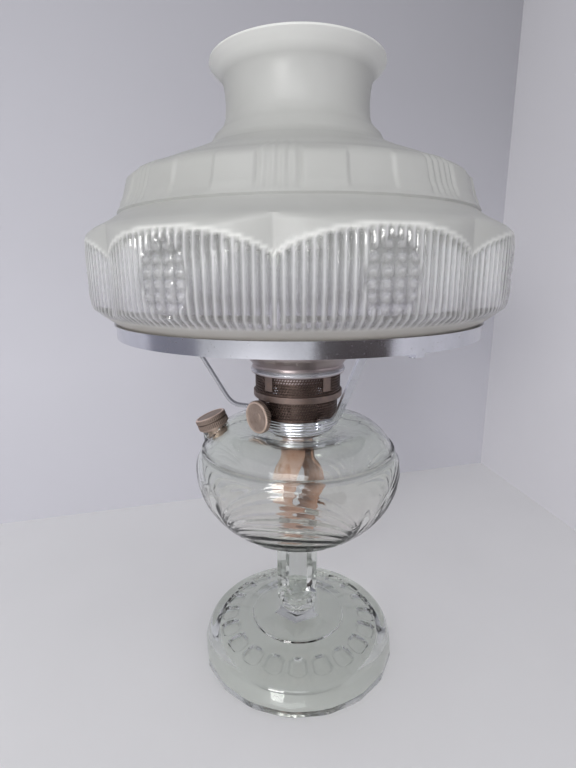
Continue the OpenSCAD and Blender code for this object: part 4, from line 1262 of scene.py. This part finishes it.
class LAMP_OT_raiser(bpy.types.Operator):
    """Models the milled knob and finishes the rack, pinion, shaft and nut"""

    bl_idname = "lamp.raiser"
    bl_label = "Wick raiser"

    def execute(self, context):
        colours = context.scene.lamp_colours
        teeth = context.scene.lamp_metal.knurls
        finish = brass("Knob_brass", colours.brass, colours.brass_stain)
        outline = [
            (0, 37.1, 0), (3.6, 37.1, 0), (3.6, 38.7, 0), (11.2, 38.7, 0), (11.9, 39.1, 1), (12.3, 39.6, 1),
            (12.3, 42.4, 1), (12, 42.9, 1), (11.5, 43.3, 0), (10.9, 43.5, 0), (10.1, 43.2, 0), (9.4, 42.8, 0),
            (4.4, 42.6, 0), (3.9, 42.9, 0), (3, 43.1, 0), (0, 43.2, 0)]
        form = turned(outline, teeth * 4, closed=False, gap=lambda z, mark: 1.2)
        # The knob's front rim is lightened, partly as wear and partly as a painted highlight.
        mark_rounds(form, teeth, lambda radius, z: between(radius, 10.9, 12.2, 0.5) * ease((z - 42) / 0.8))

        def rule(bearing, radius, z, mark):
            if mark > 0.4:
                radius -= 0.5 * mark * notch(bearing, teeth)
            return radius, z

        reshape(form, rule)
        ahead = Vector((-math.sqrt(0.5), -math.sqrt(0.5), 0))
        place = Matrix.Translation((0, 0, 214.2)) @ ahead.to_track_quat("Z", "Y").to_matrix().to_4x4()
        finish_piece(form, "milled_knob", finish, "knob_assembly", ["knob"], place=place)
        for node, name in (("knob_shaft", "raiser_shaft"), ("pinion", "raiser_pinion"),
                           ("shaft_bushing", "raiser_bushing"), ("packing_nut", "raiser_nut"),
                           ("wick_rack", "raiser_rack"), ("wick_carrier", "wick_sleeve")):
            cleaned_copy(node, name, finish, 0.12)
        return {"FINISHED"}


# Filler.

class LAMP_OT_filler(bpy.types.Operator):
    """Models the ribbed filler cap and finishes its neck and gasket"""

    bl_idname = "lamp.filler"
    bl_label = "Filler"

    def execute(self, context):
        colours = context.scene.lamp_colours
        ribs = context.scene.lamp_metal.cap_ribs
        finish = brass("Cap_brass", colours.brass, colours.brass_stain)
        outline = [
            (0, 11.2, 0), (11.2, 11.2, 0), (11.2, 3, 0), (11.7, 2.9, 0), (12.3, 3.1, 0), (12.5, 3.6, 1),
            (12.5, 7.0, 1), (12.35, 7.3, 0), (11.6, 7.5, 0), (11.6, 8.1, 0), (12.35, 8.3, 0),
            (12.5, 8.6, 1), (12.5, 10.8, 1), (12.3, 11.5, 0), (11.8, 12, 0), (11, 12.2, 0), (10.2, 11.9, 0),
            (9.6, 11.7, 0), (0, 11.75, 0)]
        form = turned(outline, ribs * 6, closed=False, gap=lambda z, mark: 1.5)
        # The cap's top rim is lightened, partly as wear and partly as a painted highlight.
        mark_rounds(form, ribs, lambda radius, z: between(radius, 10.6, 12, 0.6) * ease((z - 11) / 0.8))
        groove = form.verts.layers.float["groove"]
        # Painted shade in the ring cut round the cap's middle.
        for vert in form.verts:
            if math.hypot(vert.co.x, vert.co.y) > 11.5 and 7.4 < vert.co.z < 8.2:
                vert[groove] = 1.0

        def rule(bearing, radius, z, mark):
            if mark > 0.5:
                radius -= 0.4 * notch(bearing, ribs)
            return radius, z

        reshape(form, rule)
        place = Matrix.Translation((-66, 0, 195.93)) @ Matrix.Rotation(math.radians(-22), 4, "Y")
        finish_piece(form, "ribbed_filler_cap", finish, "cap", ["filler_cap"], place=place)
        cleaned_copy("filler_neck", "filler_mouth", finish, 0.15)
        dress(cork(colours.cork), "cap_gasket")
        return {"FINISHED"}


# Panel and registration.

class LAMP_PT_panel(bpy.types.Panel):
    """Lists the lamp's pieces and the stage"""

    bl_idname = "LAMP_PT_panel"
    bl_label = "Kerosene lamp"
    bl_space_type = "VIEW_3D"
    bl_region_type = "UI"
    bl_category = "Lamp"

    def draw(self, context):
        column = self.layout.column()
        for operator in OPERATORS:
            column.operator(operator.bl_idname, text=operator.bl_label)
        for group in ("lamp_glass", "lamp_shade", "lamp_metal", "lamp_colours", "lamp_stage"):
            box = self.layout.box()
            settings = getattr(context.scene, group)
            for name in settings.__annotations__:
                box.prop(settings, name)


OPERATORS = (
    LAMP_OT_stage, LAMP_OT_foot, LAMP_OT_bowl, LAMP_OT_shade, LAMP_OT_plated, LAMP_OT_burner, LAMP_OT_wick,
    LAMP_OT_raiser, LAMP_OT_filler)
GROUPS = {
    "lamp_glass": LampGlassSizes,
    "lamp_shade": LampShadeSizes,
    "lamp_metal": LampMetalSizes,
    "lamp_colours": LampColours,
    "lamp_stage": LampStageLook,
}


def register():
    """Registers the settings, operators and panel."""
    for name, group in GROUPS.items():
        bpy.utils.register_class(group)
        setattr(bpy.types.Scene, name, bpy.props.PointerProperty(type=group))
    for cls in (*OPERATORS, LAMP_PT_panel):
        bpy.utils.register_class(cls)


def unregister():
    """Takes everything out again."""
    for cls in (LAMP_PT_panel, *reversed(OPERATORS)):
        bpy.utils.unregister_class(cls)
    for name, group in reversed(GROUPS.items()):
        delattr(bpy.types.Scene, name)
        bpy.utils.unregister_class(group)


def main():
    """Builds the stage and every piece."""
    register()
    for operator in OPERATORS:
        group, name = operator.bl_idname.split(".")
        getattr(getattr(bpy.ops, group), name)()


if __name__ == "__main__":
    main()
